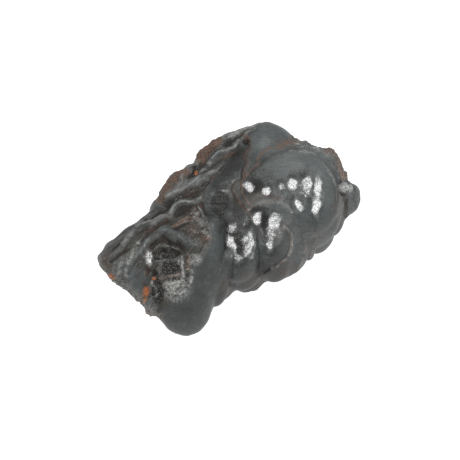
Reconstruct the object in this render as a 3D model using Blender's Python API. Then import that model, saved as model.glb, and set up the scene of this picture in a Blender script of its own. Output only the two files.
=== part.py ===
"""Hematite specimen: one hand-sized stone of botryoidal hematite, "kidney ore", in metres, resting on z = 0.

The long way of the stone is X. Its rounded, lobed flank faces -Y, and its rough, fractured side faces +Y.
The shape is first a field, nearly the signed distance to the stone in millimetres: rounded blocks, broken off
by fracture planes, carry lobes. A box of cells is drawn onto that field, and then bumps, ridges, hollows and
the grain of the rough sides are raised along the normals.
"""
import itertools
import math

import bpy
import numpy as np

MM = 0.001

# The show side is the one that is usually photographed. Lobes and ridges are laid out on it as it is seen
# from EYE millimetres away: s to the right and t upwards, in millimetres on the plane through MIDDLE.
EYE = 345.0
SHOW_TURN = -47.0
SHOW_TILT = 38.0
MIDDLE = (0.0, 0.0, 17.0)

# Rounded blocks of the core: centre, half sizes, pitch about Y and roll about X in degrees, and squareness,
# which is 2 for an ellipsoid
BLOCKS = {
    "core": ((-2, 4.4, 14), (35, 17.1, 13.5), (-7, 0), 3),
    "flank": ((16, -6, 17), (26, 15, 12), (-18, 17), 3),
    "high end": ((26, 4.0, 19), (16, 16, 14), (0, 0), 3),
    "back": ((12, 13.5, 20), (26, 12.5, 12), (-9, 0), 3),
    "low end": ((-24.8, 12.5, 11), (17.5, 13.5, 11), (-6, 0), 2),
    "nose root": ((-28, -5, 11), (9.5, 9.5, 10.5), (0, 0), 2),
    "base": ((3, 3, 8.5), (29, 11.5, 10), (0, 0), 3),
}
BLOCK_BLEND = 4.0

# Fracture planes: a point on the plane, its outward direction, the rounding of its edges
FRACTURES = {
    "top": ((0, 10, 30.5), (-0.20, 0.03, 0.98), 3.0),
    "back": ((0, 27, 12), (0.0, 0.97, 0.24), 3.0),
    "lower back": ((0, 23, 5), (0.1, 0.80, -0.60), 4.0),
    "undercut": ((-36.4, 16, 10.4), (-0.772, 0.114, -0.622), 2.0),
}

# Lobes: s, t, half across, half along, half deep, height over the core, lean, blend
SHOW_LOBES = {
    "nose": (-14, -24, 8.2, 9.8, 9, 1.0, 5, 3.0),
    "nose tongue": (-8, -10, 6.5, 15, 7, 0.6, 16, 4.0),
    "nose side": (-3.6, -17.2, 3.8, 7.2, 6, 0.9, 14, 0.8),
    "third low": (4.4, -11, 6.0, 8.4, 7, 1.0, 4, 0.8),
    "fourth": (14, -6, 6.8, 10.8, 8, 1.8, 0, 0.8),
    "crescent": (18.5, -8.0, 5.6, 8.4, 6, 0.9, 38, 0.8),
    "low mid": (23.6, -4.0, 3.0, 5.6, 5, 0.4, -15, 0.6),
    "low right": (28.6, -2.2, 4.0, 5.6, 5, 0.6, 30, 0.6),
    "top strip": (29, 22.0, 5.0, 2.6, 5, 0.2, -25, 2.5),
    "rust lip low": (-17.0, 12.6, 3.0, 8.5, 5, 0.0, 43, 3.0),
    "rust lip high": (-4.5, 24.6, 3.2, 7.5, 4.0, 0.6, 58, 3.0),
}
SHOULDER_LOBES = {
    "big dome": (22, 6.5, 13.5, 13, 10, 0.8, 0, 1.0),
    "dome top": (19.5, 11.0, 15.5, 16.5, 5.0, 1.2, -14, 1.5),
    "second dome": (12.5, -4.5, 8, 9.5, 7, 1.5, 0, 0.8),
    "third": (3.0, -10.5, 6.5, 9.0, 7, 1.0, 8, 0.8),
}
TOP_LOBES = {
    "crown": (12, 29.5, 9, 12, 10, 2.4, 0, 4.0),
    "crown back": (3, 30, 8, 6, 6, 0.6, 0, 4.0),
}
RIGHT_END_LOBES = {
    "high": (7, 7, 7.0, 6.0, 5, 0.8, 0, 0.8),
    "middle": (-3, 2, 6.5, 7.5, 5, 1.5, 20, 0.8),
    "far": (11, -1, 6.5, 7.0, 5, 1.2, -15, 1.5),
    "near": (-10, -8, 5.5, 5.5, 5, 1.3, 0, 0.8),
    "low": (3, -10, 7.5, 5.5, 5, 1.4, 0, 0.8),
}
UNDER_FLANK_LOBES = {
    "under nose": (-27, -10, 6, 5, 6, 0.8, 0, 0.8),
    "under third": (-13, -8, 5.5, 5, 6, 0.6, 0, 0.8),
    "under fourth": (-1, -8, 6.5, 5.5, 6, 1.0, 0, 0.8),
    "under dome": (13, -7, 6.5, 5.5, 6, 1.0, 0, 0.8),
    "under end": (26, -6, 6, 5.5, 6, 1.0, 0, 0.8),
}
SHOULDER = (-47.0, 64.0)
TOP = (-47.0, 80.0)
RIGHT_END = (90.0, 0.0)
UNDER_FLANK = (0.0, -25.0)

# Lobes on the corner between flank and right end: centre, half sizes and blend
CORNER_LOBES = {
    "knob": ((37.2, -16.2, 17.0), (6.4, 5.2, 6.2), 2.0),
    "right strip": ((39.5, -7.0, 21.5), (5.0, 6.0, 8.0), 1.5),
    "low right two": ((33.2, -12.6, 9.2), (6.2, 6.0, 6.2), 3.0),
}

# Bumps on the show side: s, t, half across, half along, height, lean
BUMPS = {
    "a": (6.3, 13.0, 2.2, 3.0, 0.9, 0),
    "b": (11.8, 12.5, 2.4, 2.8, 0.9, 0),
    "c": (16.6, 13.8, 2.0, 2.4, 0.8, 0),
    "d": (20.0, 14.6, 2.2, 3.0, 0.9, 0),
    "e": (24.6, 13.6, 2.4, 4.0, 1.0, 0),
    "f": (28.2, 11.0, 2.3, 6.8, 1.0, 0),
    "g": (21.8, 7.8, 3.5, 4.2, 1.1, 0),
    "h": (8.2, 3.7, 2.2, 3.6, 0.9, 20),
    "i": (14.0, 1.6, 3.2, 4.6, 0.8, 0),
    "rimmed dome": (13.8, -5.2, 5.4, 6.6, 0.8, 0),
    "left knob": (-25.6, -9.2, 1.6, 2.8, 0.8, 0),
    "plate": (-17.6, -20.0, 3.6, 4.2, 0.6, 20),
}
BUMP_STEEPNESS = 0.75

# Hollows on the show side: s, t, half across, half along, depth, lean
HOLLOWS = {
    "upper pit": (-20.6, -7.0, 3.4, 2.2, 1.8, 0),
    "lower pit": (-18.8, -12.0, 3.4, 2.3, 1.6, 0),
    "pocket": (-10.0, 19.2, 1.8, 4.2, 1.4, 62),
    "dark hollow": (-3.8, 7.6, 2.4, 4.2, 1.2, 0),
    "torn patch": (-23.8, -19.5, 2.0, 4.4, 1.0, 0),
    "crown notch": (5.1, 27.2, 1.4, 1.4, 0.8, 0),
}

# Ridges of the rough side: height, half width, then s and t of their points
RIDGES = {
    "top": (0.7, 1.5, ((-6, 21.5), (-4, 23), (-2, 24.5), (0, 25.5), (4, 28), (6.5, 31))),
    "pocket rim": (0.7, 1.4, ((-14, 16.5), (-13.5, 18.5), (-12, 20), (-9.5, 22))),
    "below pocket": (0.6, 1.4, ((-8.5, 17), (-6, 18.7), (-4.5, 19.5), (-0.5, 21.3))),
    "upper ledge": (0.8, 1.6, ((-19, 11.8), (-17, 12.8), (-14.5, 13), (-13, 14.5), (-9.5, 16.5))),
    "lens rim": (0.6, 1.5, ((-20.5, 8), (-16, 9), (-12.5, 9.7), (-8.5, 10.8))),
    "long ledge": (0.8, 1.5, ((-31, -3), (-28.3, 0.6), (-25.4, 1.3), (-22, 2), (-18.4, 5.7), (-16, 8))),
    "lower ledge": (0.7, 1.5, ((-27, -2.2), (-24.8, -0.3), (-20.6, -0.6), (-17.5, -1.3))),
    "fin": (0.8, 1.4, ((-28.8, -3.5), (-30.3, -7), (-32, -11))),
    "pit lip": (0.7, 1.3, ((-22.5, -9.3), (-19, -9.6), (-15.8, -9.0))),
    "pit side": (0.8, 1.3, ((-14.4, -9.6), (-14.4, -12.2), (-13.8, -14.6))),
    "brown ledge": (0.7, 1.3, ((-21.5, -14.6), (-18.6, -14.2), (-16, -14.4))),
    "crust line": (0.6, 1.3, ((-9.8, 8), (-7.6, 2.5), (-5.5, -2.4))),
}

# Share of a normal that points out of the show side where its relief begins, and where it has its full height
FACING = (-0.05, 0.3)

# Where the smooth skin of the show side ends and the rough side begins: t from the top down, and s there
SKIN_EDGE_T = (27.6, 25.4, 20.6, 15.9, 12.0, 6.4, 1.6, -2.5, -7.0, -12.0, -17.0, -22.0, -25.5)
SKIN_EDGE_S = (4.0, 0.6, -3.2, -6.4, -8.0, -7.6, -6.4, -5.7, -8.0, -12.5, -13.5, -17.0, -22.0)
SKIN_EDGE_WIDTH = 0.8
ROUGH_BACK = (14.0, 18.0)
ROUGH_UNDER = (4.0, 1.5)

# The grain of the rough sides: side of a noise cube, its stretch along X, Y and Z, and its height
GRAINS = ((9.0, (2.0, 1.0, 0.8), 1.0), (4.5, (2.0, 1.0, 0.8), 0.6))
NOISE_TABLE = 32
NOISE_SEED = 7

# Cells of the box along X, Y and Z, and the spine on which its rays start
CELLS = (44, 24, 20)
SPINE_HALF = 23.0
SPINE_HEIGHT = 14.0
FAN = 0.9
START = 60.0
MARCH_STEPS = 60
MARCH_SHARE = 0.85
NEAR = 0.02
TINY = 1e-6

# How the cells are brought onto the surface and evened out
SETTLE_ROUNDS = 3
EVEN_ROUNDS = 4
SETTLE_STEP = 0.5
SLOPE_STEP = 0.15
RELIEF_SLOPE_STEP = 0.6

# Search for the surface straight in from a side: from this far in front of the middle, by this step
SEARCH_FROM = 45.0
SEARCH_STEP = 0.25

STONE_COLOUR = (0.075, 0.078, 0.082, 1.0)
STONE_ROUGHNESS = 0.42
STONE_METALLIC = 0.25


def unite(a, b, blend):
    """The smaller of two distances, with the crease between them filled over `blend`."""
    near = np.maximum(blend - np.abs(a - b), 0) / blend
    return np.minimum(a, b) - near * near * blend / 4


def cut(a, b, blend):
    """The larger of two distances, with the edge between them rounded over `blend`."""
    return -unite(-a, -b, blend)


def ramp(low, high, value):
    """0 below low, 1 above high, and an S-shaped rise between; low may be the higher."""
    x = np.clip((value - low) / (high - low), 0, 1)
    return x * x * (3 - 2 * x)


def block(points, centre, half, axes, squareness):
    """Distance to a rounded block: its norm of power 2 or 3, less one, over the length of its slope."""
    half = np.array(half, points.dtype)
    local = np.abs((points - np.array(centre, points.dtype)) @ np.array(axes, points.dtype).T) / half + TINY
    if squareness == 2:
        size = np.sqrt((local * local).sum(-1))
        slope = local / size[..., None] / half
    else:
        size = np.cbrt((local * local * local).sum(-1))
        slope = np.square(local / size[..., None]) / half
    return (size - 1) / np.sqrt((slope * slope).sum(-1))


def turned(pitch, roll):
    """Axes pitched about Y, then rolled about X: a negative pitch lifts +X, a positive roll lowers -Y."""
    c, s = math.cos(math.radians(pitch)), math.sin(math.radians(pitch))
    d, w = math.cos(math.radians(roll)), math.sin(math.radians(roll))
    return ((c, w * s, -d * s), (0, d, w), (s, -w * c, d * c))


class Side:
    """One side of the stone as a sheet to draw on, seen from `eye` millimetres away."""

    def __init__(self, turn, tilt, eye=math.inf):
        turn, tilt = math.radians(turn), math.radians(tilt)
        flat, rise = math.cos(tilt), math.sin(tilt)
        self.across = np.array([math.cos(turn), math.sin(turn), 0.0])
        self.out = np.array([math.sin(turn) * flat, -math.cos(turn) * flat, rise])
        self.up = np.cross(self.out, self.across)
        self.eye = eye

    def point(self, s, t, depth):
        """The point that is seen at (s, t) and lies `depth` in front of the middle plane."""
        return np.array(MIDDLE) + depth * self.out + (s * self.across + t * self.up) * (1 - depth / self.eye)

    def sheet(self, points):
        """Where points are seen, as s and t."""
        away = points - np.array(MIDDLE)
        scale = 1 - away @ self.out / self.eye
        return away @ self.across / scale, away @ self.up / scale

    def leaning(self, lean):
        """Axes in the sheet, turned clockwise by `lean` degrees, and straight out of it."""
        c, s = math.cos(math.radians(lean)), math.sin(math.radians(lean))
        return (self.across * c - self.up * s, self.across * s + self.up * c, self.out)

    def surface(self, field, s, t):
        """How far in front of the middle plane the field's surface lies at (s, t), or comes nearest."""
        depths = np.arange(SEARCH_FROM, -SEARCH_FROM, -SEARCH_STEP)
        values = field(np.array([self.point(s, t, depth) for depth in depths]))
        if values.min() > 0:
            return depths[np.argmin(values)]
        return depths[np.argmax(values < 0)]

    def lobe(self, field, s, t, across, along, deep, height, lean, blend):
        """A lobe whose top stands `height` over the field's surface: centre, half sizes, axes and blend."""
        depth = self.surface(field, s, t) + height - deep
        scale = 1 - depth / self.eye
        return self.point(s, t, depth), (across * scale, along * scale, deep), self.leaning(lean), blend


SHOW = Side(SHOW_TURN, SHOW_TILT, EYE)


def core(points):
    """The blocks, broken off by the fracture planes."""
    field = None
    for centre, half, turns, squareness in BLOCKS.values():
        part = block(points, centre, half, turned(*turns), squareness)
        field = part if field is None else unite(field, part, BLOCK_BLEND)
    for at, normal, blend in FRACTURES.values():
        outward = np.array(normal, points.dtype) / math.sqrt(sum(n * n for n in normal))
        field = cut(field, (points - np.array(at, points.dtype)) @ outward, blend)
    return field


def make_lobed():
    """The core with the lobes of every side, each joined only where it is near enough to matter."""
    sides = ((SHOW, SHOW_LOBES), (Side(*SHOULDER), SHOULDER_LOBES), (Side(*TOP), TOP_LOBES),
             (Side(*RIGHT_END), RIGHT_END_LOBES), (Side(*UNDER_FLANK), UNDER_FLANK_LOBES))
    lobes = [side.lobe(core, *row) for side, rows in sides for row in rows.values()]
    lobes += [(centre, half, np.eye(3), blend) for centre, half, blend in CORNER_LOBES.values()]

    def lobed(points):
        field = core(points)
        for centre, half, axes, blend in lobes:
            away = points - np.array(centre, points.dtype)
            near = (away * away).sum(-1) < np.square(np.maximum(field, 0) + blend + max(half))
            if near.any():
                field[near] = unite(field[near], block(points[near], centre, half, axes, 2), blend)
        return field
    return lobed


def box_grid(cells):
    """Lattice points on the surface of a box from -1 to 1, and its quads, facing out."""
    nx, ny, nz = cells
    x, y, z = np.meshgrid(*(np.arange(n + 1) for n in cells), indexing="ij")
    outer = (x % nx == 0) | (y % ny == 0) | (z % nz == 0)
    index = np.full(x.shape, -1)
    index[outer] = np.arange(outer.sum())
    lattice = np.stack([x[outer] / nx, y[outer] / ny, z[outer] / nz], -1) * 2 - 1
    quads = []
    for axis in range(3):
        for end in (0, -1):
            grid = np.take(index, end, axis=axis)
            ring = np.stack([grid[:-1, :-1], grid[1:, :-1], grid[1:, 1:], grid[:-1, 1:]], -1).reshape(-1, 4)
            quads.append(ring[:, ::-1] if (end == 0) != (axis == 1) else ring)
    return lattice, np.concatenate(quads)


def normals(field, points, step=SLOPE_STEP):
    """The field's upward slope as unit vectors, by central differences."""
    steps = np.eye(3, dtype=points.dtype) * points.dtype.type(step)
    slope = np.stack([field(points + e) - field(points - e) for e in steps], -1)
    return slope / (np.linalg.norm(slope, axis=-1, keepdims=True) + TINY)


def settle(field, points, rounds):
    """Moves points onto the surface along the field's slope, by steps of at most SETTLE_STEP."""
    for _ in range(rounds):
        step = np.clip(field(points), -SETTLE_STEP, SETTLE_STEP)
        points = points - step[:, None] * normals(field, points)
    return points


def wrap(field, cells):
    """Draws the box of cells onto the field from outside, along rays that meet on the stone's spine."""
    lattice, quads = box_grid(cells)
    origin = np.zeros(lattice.shape)
    origin[:, 0] = SPINE_HALF * lattice[:, 0]
    origin[:, 2] = SPINE_HEIGHT
    ray = np.tan(lattice * math.pi / 4) * np.array([FAN, 1.0, 1.0])
    ray /= np.linalg.norm(ray, axis=-1, keepdims=True)
    reach = np.full(len(lattice), START)
    moving = np.arange(len(lattice))
    for _ in range(MARCH_STEPS):
        step = MARCH_SHARE * field(origin[moving] + ray[moving] * reach[moving, None])
        reach[moving] -= step
        moving = moving[np.abs(step) > NEAR]
    return origin + ray * reach[:, None], quads


def even_out(field, points, quads, rounds):
    """Slides points along the surface towards the middle of their neighbours, so that the cells even out."""
    start, end = np.concatenate([quads[:, [k, (k + 1) % 4]] for k in range(4)]).T
    start, end = np.append(start, end), np.append(end, start)
    count = np.bincount(start)[:, None]
    for _ in range(rounds):
        middle = np.stack([np.bincount(start, points[end, k]) for k in range(3)], -1) / count
        outward = normals(field, points)
        move = (middle - points) / 2
        move -= (move * outward).sum(-1, keepdims=True) * outward
        points = settle(field, points + move, 1)
    return points


def noise(points, cube, seed):
    """Smooth noise from -1 to 1: random numbers at the corners of cubes, blended between them."""
    table = np.random.default_rng(seed).uniform(-1, 1, (NOISE_TABLE,) * 3)
    cell = np.floor(points / cube).astype(int)
    within = ramp(0, 1, points / cube - cell)
    total = 0
    for corner in itertools.product((0, 1), repeat=3):
        weight = np.where(corner, within, 1 - within).prod(-1)
        total = total + weight * table[tuple(((cell + corner) % NOISE_TABLE).T)]
    return total


def roundness(s, t, at, half, lean):
    """Distance from `at` in the sheet, as a share of the oval with these half sizes."""
    c, w = math.cos(math.radians(lean)), math.sin(math.radians(lean))
    x, y = s - at[0], t - at[1]
    return np.hypot((x * c - y * w) / half[0], (x * w + y * c) / half[1])


def distance_to_line(s, t, line):
    """Distance in the sheet to a line of points."""
    nearest = np.full(s.shape, np.inf)
    for (s0, t0), (s1, t1) in itertools.pairwise(line):
        ds, dt = s1 - s0, t1 - t0
        share = np.clip(((s - s0) * ds + (t - t0) * dt) / (ds * ds + dt * dt), 0, 1)
        nearest = np.minimum(nearest, np.hypot(s - s0 - share * ds, t - t0 - share * dt))
    return nearest


def roughness_mask(points, s, t):
    """1 on the rough side, the back and the underside, 0 on the smooth skin."""
    edge = np.interp(-t, [-v for v in SKIN_EDGE_T], SKIN_EDGE_S)
    left = ramp(-SKIN_EDGE_WIDTH, SKIN_EDGE_WIDTH, edge - s)
    back = ramp(*ROUGH_BACK, points[:, 1])
    under = ramp(*ROUGH_UNDER, points[:, 2])
    return np.maximum(np.maximum(left, back), under)


def relief(points, outward):
    """How far each point is raised: the show side's bumps, ridges and hollows, and grain where rough."""
    s, t = SHOW.sheet(points)
    facing = ramp(*FACING, outward @ SHOW.out)
    bumps = np.zeros(len(points))
    low = BUMP_STEEPNESS
    for at_s, at_t, across, along, height, lean in BUMPS.values():
        r = np.minimum(roundness(s, t, (at_s, at_t), (across, along), lean), 1)
        bumps = np.maximum(bumps, height * (np.sqrt(1 - r * r * (1 - low * low)) - low) / (1 - low))
    ridges = np.zeros(len(points))
    for height, width, line in RIDGES.values():
        ridges = np.maximum(ridges, height * np.exp(-np.square(distance_to_line(s, t, line) / width)))
    hollows = np.zeros(len(points))
    for at_s, at_t, across, along, depth, lean in HOLLOWS.values():
        r = roundness(s, t, (at_s, at_t), (across, along), lean)
        hollows = np.maximum(hollows, depth * np.exp(-r ** 4))
    grain = 0
    for cube, stretch, height in GRAINS:
        grain = grain + height * noise(points / np.array(stretch), cube, NOISE_SEED)
    return facing * (bumps + ridges - hollows) + grain * roughness_mask(points, s, t)


def stone_material():
    """Dark grey iron oxide with a dull metallic shine."""
    material = bpy.data.materials.new("hematite")
    material.use_nodes = True
    shader = material.node_tree.nodes["Principled BSDF"]
    shader.inputs["Base Color"].default_value = STONE_COLOUR
    shader.inputs["Roughness"].default_value = STONE_ROUGHNESS
    shader.inputs["Metallic"].default_value = STONE_METALLIC
    return material


def make_specimen():
    """The stone as one object, rubbed flat where it rests, with the middle of its box over the origin."""
    lobed = make_lobed()
    points, quads = wrap(lobed, CELLS)
    points = even_out(lobed, settle(lobed, points, SETTLE_ROUNDS), quads, EVEN_ROUNDS)
    outward = normals(lobed, points, RELIEF_SLOPE_STEP)
    points += relief(points, outward)[:, None] * outward
    points[:, 2] = np.maximum(points[:, 2], 0.0)
    points[:, :2] -= (points.min(0) + points.max(0))[:2] / 2
    mesh = bpy.data.meshes.new("hematite_stone")
    mesh.from_pydata((points * MM).tolist(), [], quads.tolist())
    mesh.shade_smooth()
    mesh.materials.append(stone_material())
    specimen = bpy.data.objects.new("hematite_stone", mesh)
    bpy.context.scene.collection.objects.link(specimen)
    return specimen


for leftover in list(bpy.data.objects):
    bpy.data.objects.remove(leftover, do_unlink=True)
make_specimen()
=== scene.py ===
# %% [markdown]
# # A hematite specimen, the "kidney ore" of mineral shelves
#
# The real object is one natural stone. One flank is a smooth, dark grey, half metallic skin that swells
# into round lobes. The other side is a broken one, with ledges, pits and rust. This lesson dresses the
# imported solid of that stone: it works the same shape out again on much smaller cells, adds the fine relief
# that a solid for collisions doesn't need, and paints it.
#
# First comes the frame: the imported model, which says where the stone is and how large it may be.

import itertools
import math

import bpy
import numpy as np
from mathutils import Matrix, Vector


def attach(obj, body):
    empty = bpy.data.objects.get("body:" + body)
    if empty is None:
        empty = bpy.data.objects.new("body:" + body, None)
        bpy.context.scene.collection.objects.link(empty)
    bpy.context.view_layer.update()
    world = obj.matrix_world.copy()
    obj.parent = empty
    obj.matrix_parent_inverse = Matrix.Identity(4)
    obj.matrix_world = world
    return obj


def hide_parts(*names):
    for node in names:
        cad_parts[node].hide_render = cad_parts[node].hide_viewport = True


MM = 0.001
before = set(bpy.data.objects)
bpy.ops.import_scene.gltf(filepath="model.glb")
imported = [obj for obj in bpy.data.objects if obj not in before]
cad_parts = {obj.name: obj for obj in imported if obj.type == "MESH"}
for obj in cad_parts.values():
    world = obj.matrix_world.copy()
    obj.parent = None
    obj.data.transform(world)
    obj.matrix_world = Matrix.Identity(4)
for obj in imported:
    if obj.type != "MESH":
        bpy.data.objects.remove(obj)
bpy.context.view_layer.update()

# %% [markdown]
# ## Sheets to draw on
#
# Lobes and ridges are easiest to place where they are seen. So each side of the stone gets a sheet: s runs
# to the right and t upwards, in millimetres, on a plane through the stone's middle that faces a given
# direction. The show side is seen from near, so its sheet shrinks with depth as in a photograph. The others
# are seen from far away, without that.

# %% Helpers for blends and turns
def ramp(low, high, value):
    """x * x * (3 - 2 x), where x runs from 0 at low to 1 at high and stays there; low may be the higher."""
    x = np.clip((value - low) / (high - low), 0, 1)
    return x * x * (3 - 2 * x)


def cos_sin(degrees):
    """Cosine and sine of an angle in degrees."""
    return math.cos(math.radians(degrees)), math.sin(math.radians(degrees))


print("halfway up a ramp:", ramp(0, 1, 0.5), "and cosine and sine of 60 degrees: %.2f, %.2f" % cos_sin(60))

# %% The sheets
MIDDLE = np.array([0.0, 0.0, 17.0])
EYE = 345.0
DEPTHS = np.arange(45.0, -45.0, -0.25)


class Side:
    """A sheet that faces `turn` degrees round Z from -Y and `tilt` degrees up, seen from `eye` mm away."""

    def __init__(self, turn, tilt, eye=math.inf):
        (c, s), (flat, rise) = cos_sin(turn), cos_sin(tilt)
        self.across = np.array([c, s, 0.0])
        self.out = np.array([s * flat, -c * flat, rise])
        self.up = np.cross(self.out, self.across)
        self.eye = eye

    def point(self, s, t, depth):
        """MIDDLE + depth * out + (s * across + t * up) * (1 - depth / eye)."""
        return MIDDLE + depth * self.out + (s * self.across + t * self.up) * (1 - depth / self.eye)

    def sheet(self, points):
        """The s and t at which points are seen: their shares of across and up over 1 - depth / eye."""
        away = points - MIDDLE
        scale = 1 - away @ self.out / self.eye
        return away @ self.across / scale, away @ self.up / scale

    def surface(self, field, s, t):
        """How far in front of the middle plane the field's surface lies at (s, t), or comes nearest."""
        values = field(np.array([self.point(s, t, depth) for depth in DEPTHS]))
        return DEPTHS[np.argmin(values) if values.min() > 0 else np.argmax(values < 0)]

    def lobe(self, field, s, t, across, along, deep, height, lean, blend):
        """A lobe whose top stands `height` over the surface at (s, t): centre, half sizes, axes and blend."""
        depth = self.surface(field, s, t) + height - deep
        scale = 1 - depth / self.eye
        c, w = cos_sin(lean)
        axes = (self.across * c - self.up * w, self.across * w + self.up * c, self.out)
        return self.point(s, t, depth), (across * scale, along * scale, deep), axes, blend


SHOW = Side(-47.0, 38.0, EYE)
SHOULDER = Side(-47.0, 64.0)
TOP = Side(-47.0, 80.0)
RIGHT_END = Side(90.0, 0.0)
UNDER_FLANK = Side(0.0, -25.0)
print("the show side faces", SHOW.out.round(2))

# %% [markdown]
# ## The lump
#
# A stone has no drawing, so its shape is a field: a number at each point of space that is nearly the
# distance to the surface, negative inside. Rounded blocks are joined by taking the smaller distance, with
# the crease filled a little, and fracture planes break pieces off by taking the larger. A mesh sculpted by
# hand could look as good, but a field can be worked out again at any fineness, so the solid and this skin
# agree.

# %% The field of rounded blocks and fracture planes
BLOCKS = {   # centre, half sizes, pitch about Y and roll about X in degrees, squareness
    "core": ((-2, 4.4, 14), (35, 17.1, 13.5), (-7, 0), 3),
    "flank": ((16, -6, 17), (26, 15, 12), (-18, 17), 3),
    "high end": ((26, 4.0, 19), (16, 16, 14), (0, 0), 3),
    "back": ((12, 13.5, 20), (26, 12.5, 12), (-9, 0), 3),
    "low end": ((-24.8, 12.5, 11), (17.5, 13.5, 11), (-6, 0), 2),
    "nose root": ((-28, -5, 11), (9.5, 9.5, 10.5), (0, 0), 2),
    "base": ((3, 3, 8.5), (29, 11.5, 10), (0, 0), 3),
}
BLOCK_BLEND = 4.0
FRACTURES = {   # a point on the plane, its outward direction, the rounding of its edges
    "top": ((0, 10, 30.5), (-0.20, 0.03, 0.98), 3.0),
    "back": ((0, 27, 12), (0.0, 0.97, 0.24), 3.0),
    "lower back": ((0, 23, 5), (0.1, 0.80, -0.60), 4.0),
    "undercut": ((-36.4, 16, 10.4), (-0.772, 0.114, -0.622), 2.0),
}
TINY = 1e-6


def unite(a, b, blend):
    """The smaller distance less n * n * blend / 4: n is 1 where they agree and 0 where `blend` apart."""
    near = np.maximum(blend - np.abs(a - b), 0) / blend
    return np.minimum(a, b) - near * near * blend / 4


def block(points, centre, half, axes, squareness):
    """(N - 1) / |slope of N|, with N the norm of power 2 or 3 of the local x, y, z over the half sizes."""
    local = np.abs((points - np.array(centre)) @ np.array(axes).T) / half + TINY
    if squareness == 2:
        size = np.sqrt((local * local).sum(-1))
        slope = local / size[..., None] / half
    else:
        size = np.cbrt((local * local * local).sum(-1))
        slope = np.square(local / size[..., None]) / half
    return (size - 1) / np.sqrt((slope * slope).sum(-1))


def turned(pitch, roll):
    """Axes pitched about Y, then rolled about X: a negative pitch lifts +X, a positive roll lowers -Y."""
    (c, s), (d, w) = cos_sin(pitch), cos_sin(roll)
    return ((c, w * s, -d * s), (0, d, w), (s, -w * c, d * c))


def core(points):
    """The blocks, broken off by the fracture planes."""
    field = None
    for centre, half, turns, squareness in BLOCKS.values():
        part = block(points, centre, half, turned(*turns), squareness)
        field = part if field is None else unite(field, part, BLOCK_BLEND)
    for at, normal, blend in FRACTURES.values():
        outward = np.array(normal) / np.linalg.norm(normal)
        field = -unite(-field, -(points - np.array(at)) @ outward, blend)
    return field


print("field at the middle: %.1f mm" % core(MIDDLE[None])[0])

# %% [markdown]
# ## The kidney lobes
#
# Botryoidal ore grows in shells round many starting points, so neighbouring lobes meet in narrow creases.
# Each lobe is an ellipsoid that stands a millimetre or two over the core, joined with a small blend so the
# crease stays. Some are set on the shoulder's sheet, which faces halfway between the light overhead and the
# eye.

# %% The lobes of each side
LOBES = (   # side, then for each lobe: s, t, half across, half along, half deep, height, lean, blend
    (SHOW, {
        "nose": (-14, -24, 8.2, 9.8, 9, 1.0, 5, 3.0),
        "nose tongue": (-8, -10, 6.5, 15, 7, 0.6, 16, 4.0),
        "nose side": (-3.6, -17.2, 3.8, 7.2, 6, 0.9, 14, 0.8),
        "third low": (4.4, -11, 6.0, 8.4, 7, 1.0, 4, 0.8),
        "fourth": (14, -6, 6.8, 10.8, 8, 1.8, 0, 0.8),
        "crescent": (18.5, -8.0, 5.6, 8.4, 6, 0.9, 38, 0.8),
        "low mid": (23.6, -4.0, 3.0, 5.6, 5, 0.4, -15, 0.6),
        "low right": (28.6, -2.2, 4.0, 5.6, 5, 0.6, 30, 0.6),
        "top strip": (29, 22.0, 5.0, 2.6, 5, 0.2, -25, 2.5),
        "rust lip low": (-17.0, 12.6, 3.0, 8.5, 5, 0.0, 43, 3.0),
        "rust lip high": (-4.5, 24.6, 3.2, 7.5, 4.0, 0.6, 58, 3.0),
    }),
    (SHOULDER, {
        "big dome": (22, 6.5, 13.5, 13, 10, 0.8, 0, 1.0),
        "dome top": (19.5, 11.0, 15.5, 16.5, 5.0, 1.2, -14, 1.5),
        "second dome": (12.5, -4.5, 8, 9.5, 7, 1.5, 0, 0.8),
        "third": (3.0, -10.5, 6.5, 9.0, 7, 1.0, 8, 0.8),
    }),
    (TOP, {
        "crown": (12, 29.5, 9, 12, 10, 2.4, 0, 4.0),
        "crown back": (3, 30, 8, 6, 6, 0.6, 0, 4.0),
    }),
    (RIGHT_END, {
        "high": (7, 7, 7.0, 6.0, 5, 0.8, 0, 0.8),
        "middle": (-3, 2, 6.5, 7.5, 5, 1.5, 20, 0.8),
        "far": (11, -1, 6.5, 7.0, 5, 1.2, -15, 1.5),
        "near": (-10, -8, 5.5, 5.5, 5, 1.3, 0, 0.8),
        "low": (3, -10, 7.5, 5.5, 5, 1.4, 0, 0.8),
    }),
    (UNDER_FLANK, {
        "under nose": (-27, -10, 6, 5, 6, 0.8, 0, 0.8),
        "under third": (-13, -8, 5.5, 5, 6, 0.6, 0, 0.8),
        "under fourth": (-1, -8, 6.5, 5.5, 6, 1.0, 0, 0.8),
        "under dome": (13, -7, 6.5, 5.5, 6, 1.0, 0, 0.8),
        "under end": (26, -6, 6, 5.5, 6, 1.0, 0, 0.8),
    }),
)
CORNER_LOBES = {   # centre, half sizes, blend
    "knob": ((37.2, -16.2, 17.0), (6.4, 5.2, 6.2), 2.0),
    "right strip": ((39.5, -7.0, 21.5), (5.0, 6.0, 8.0), 1.5),
    "low right two": ((33.2, -12.6, 9.2), (6.2, 6.0, 6.2), 3.0),
}


def make_lobed():
    """The core with every lobe, each joined only at points that are near enough to matter."""
    lobes = [side.lobe(core, *row) for side, rows in LOBES for row in rows.values()]
    lobes += [(centre, half, np.eye(3), blend) for centre, half, blend in CORNER_LOBES.values()]

    def lobed(points):
        field = core(points)
        for centre, half, axes, blend in lobes:
            away = points - np.array(centre)
            near = (away * away).sum(-1) < np.square(np.maximum(field, 0) + blend + max(half))
            if near.any():
                field[near] = unite(field[near], block(points[near], centre, half, axes, 2), blend)
        return field

    print(len(lobes), "lobes")
    return lobed


lobed = make_lobed()

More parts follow.
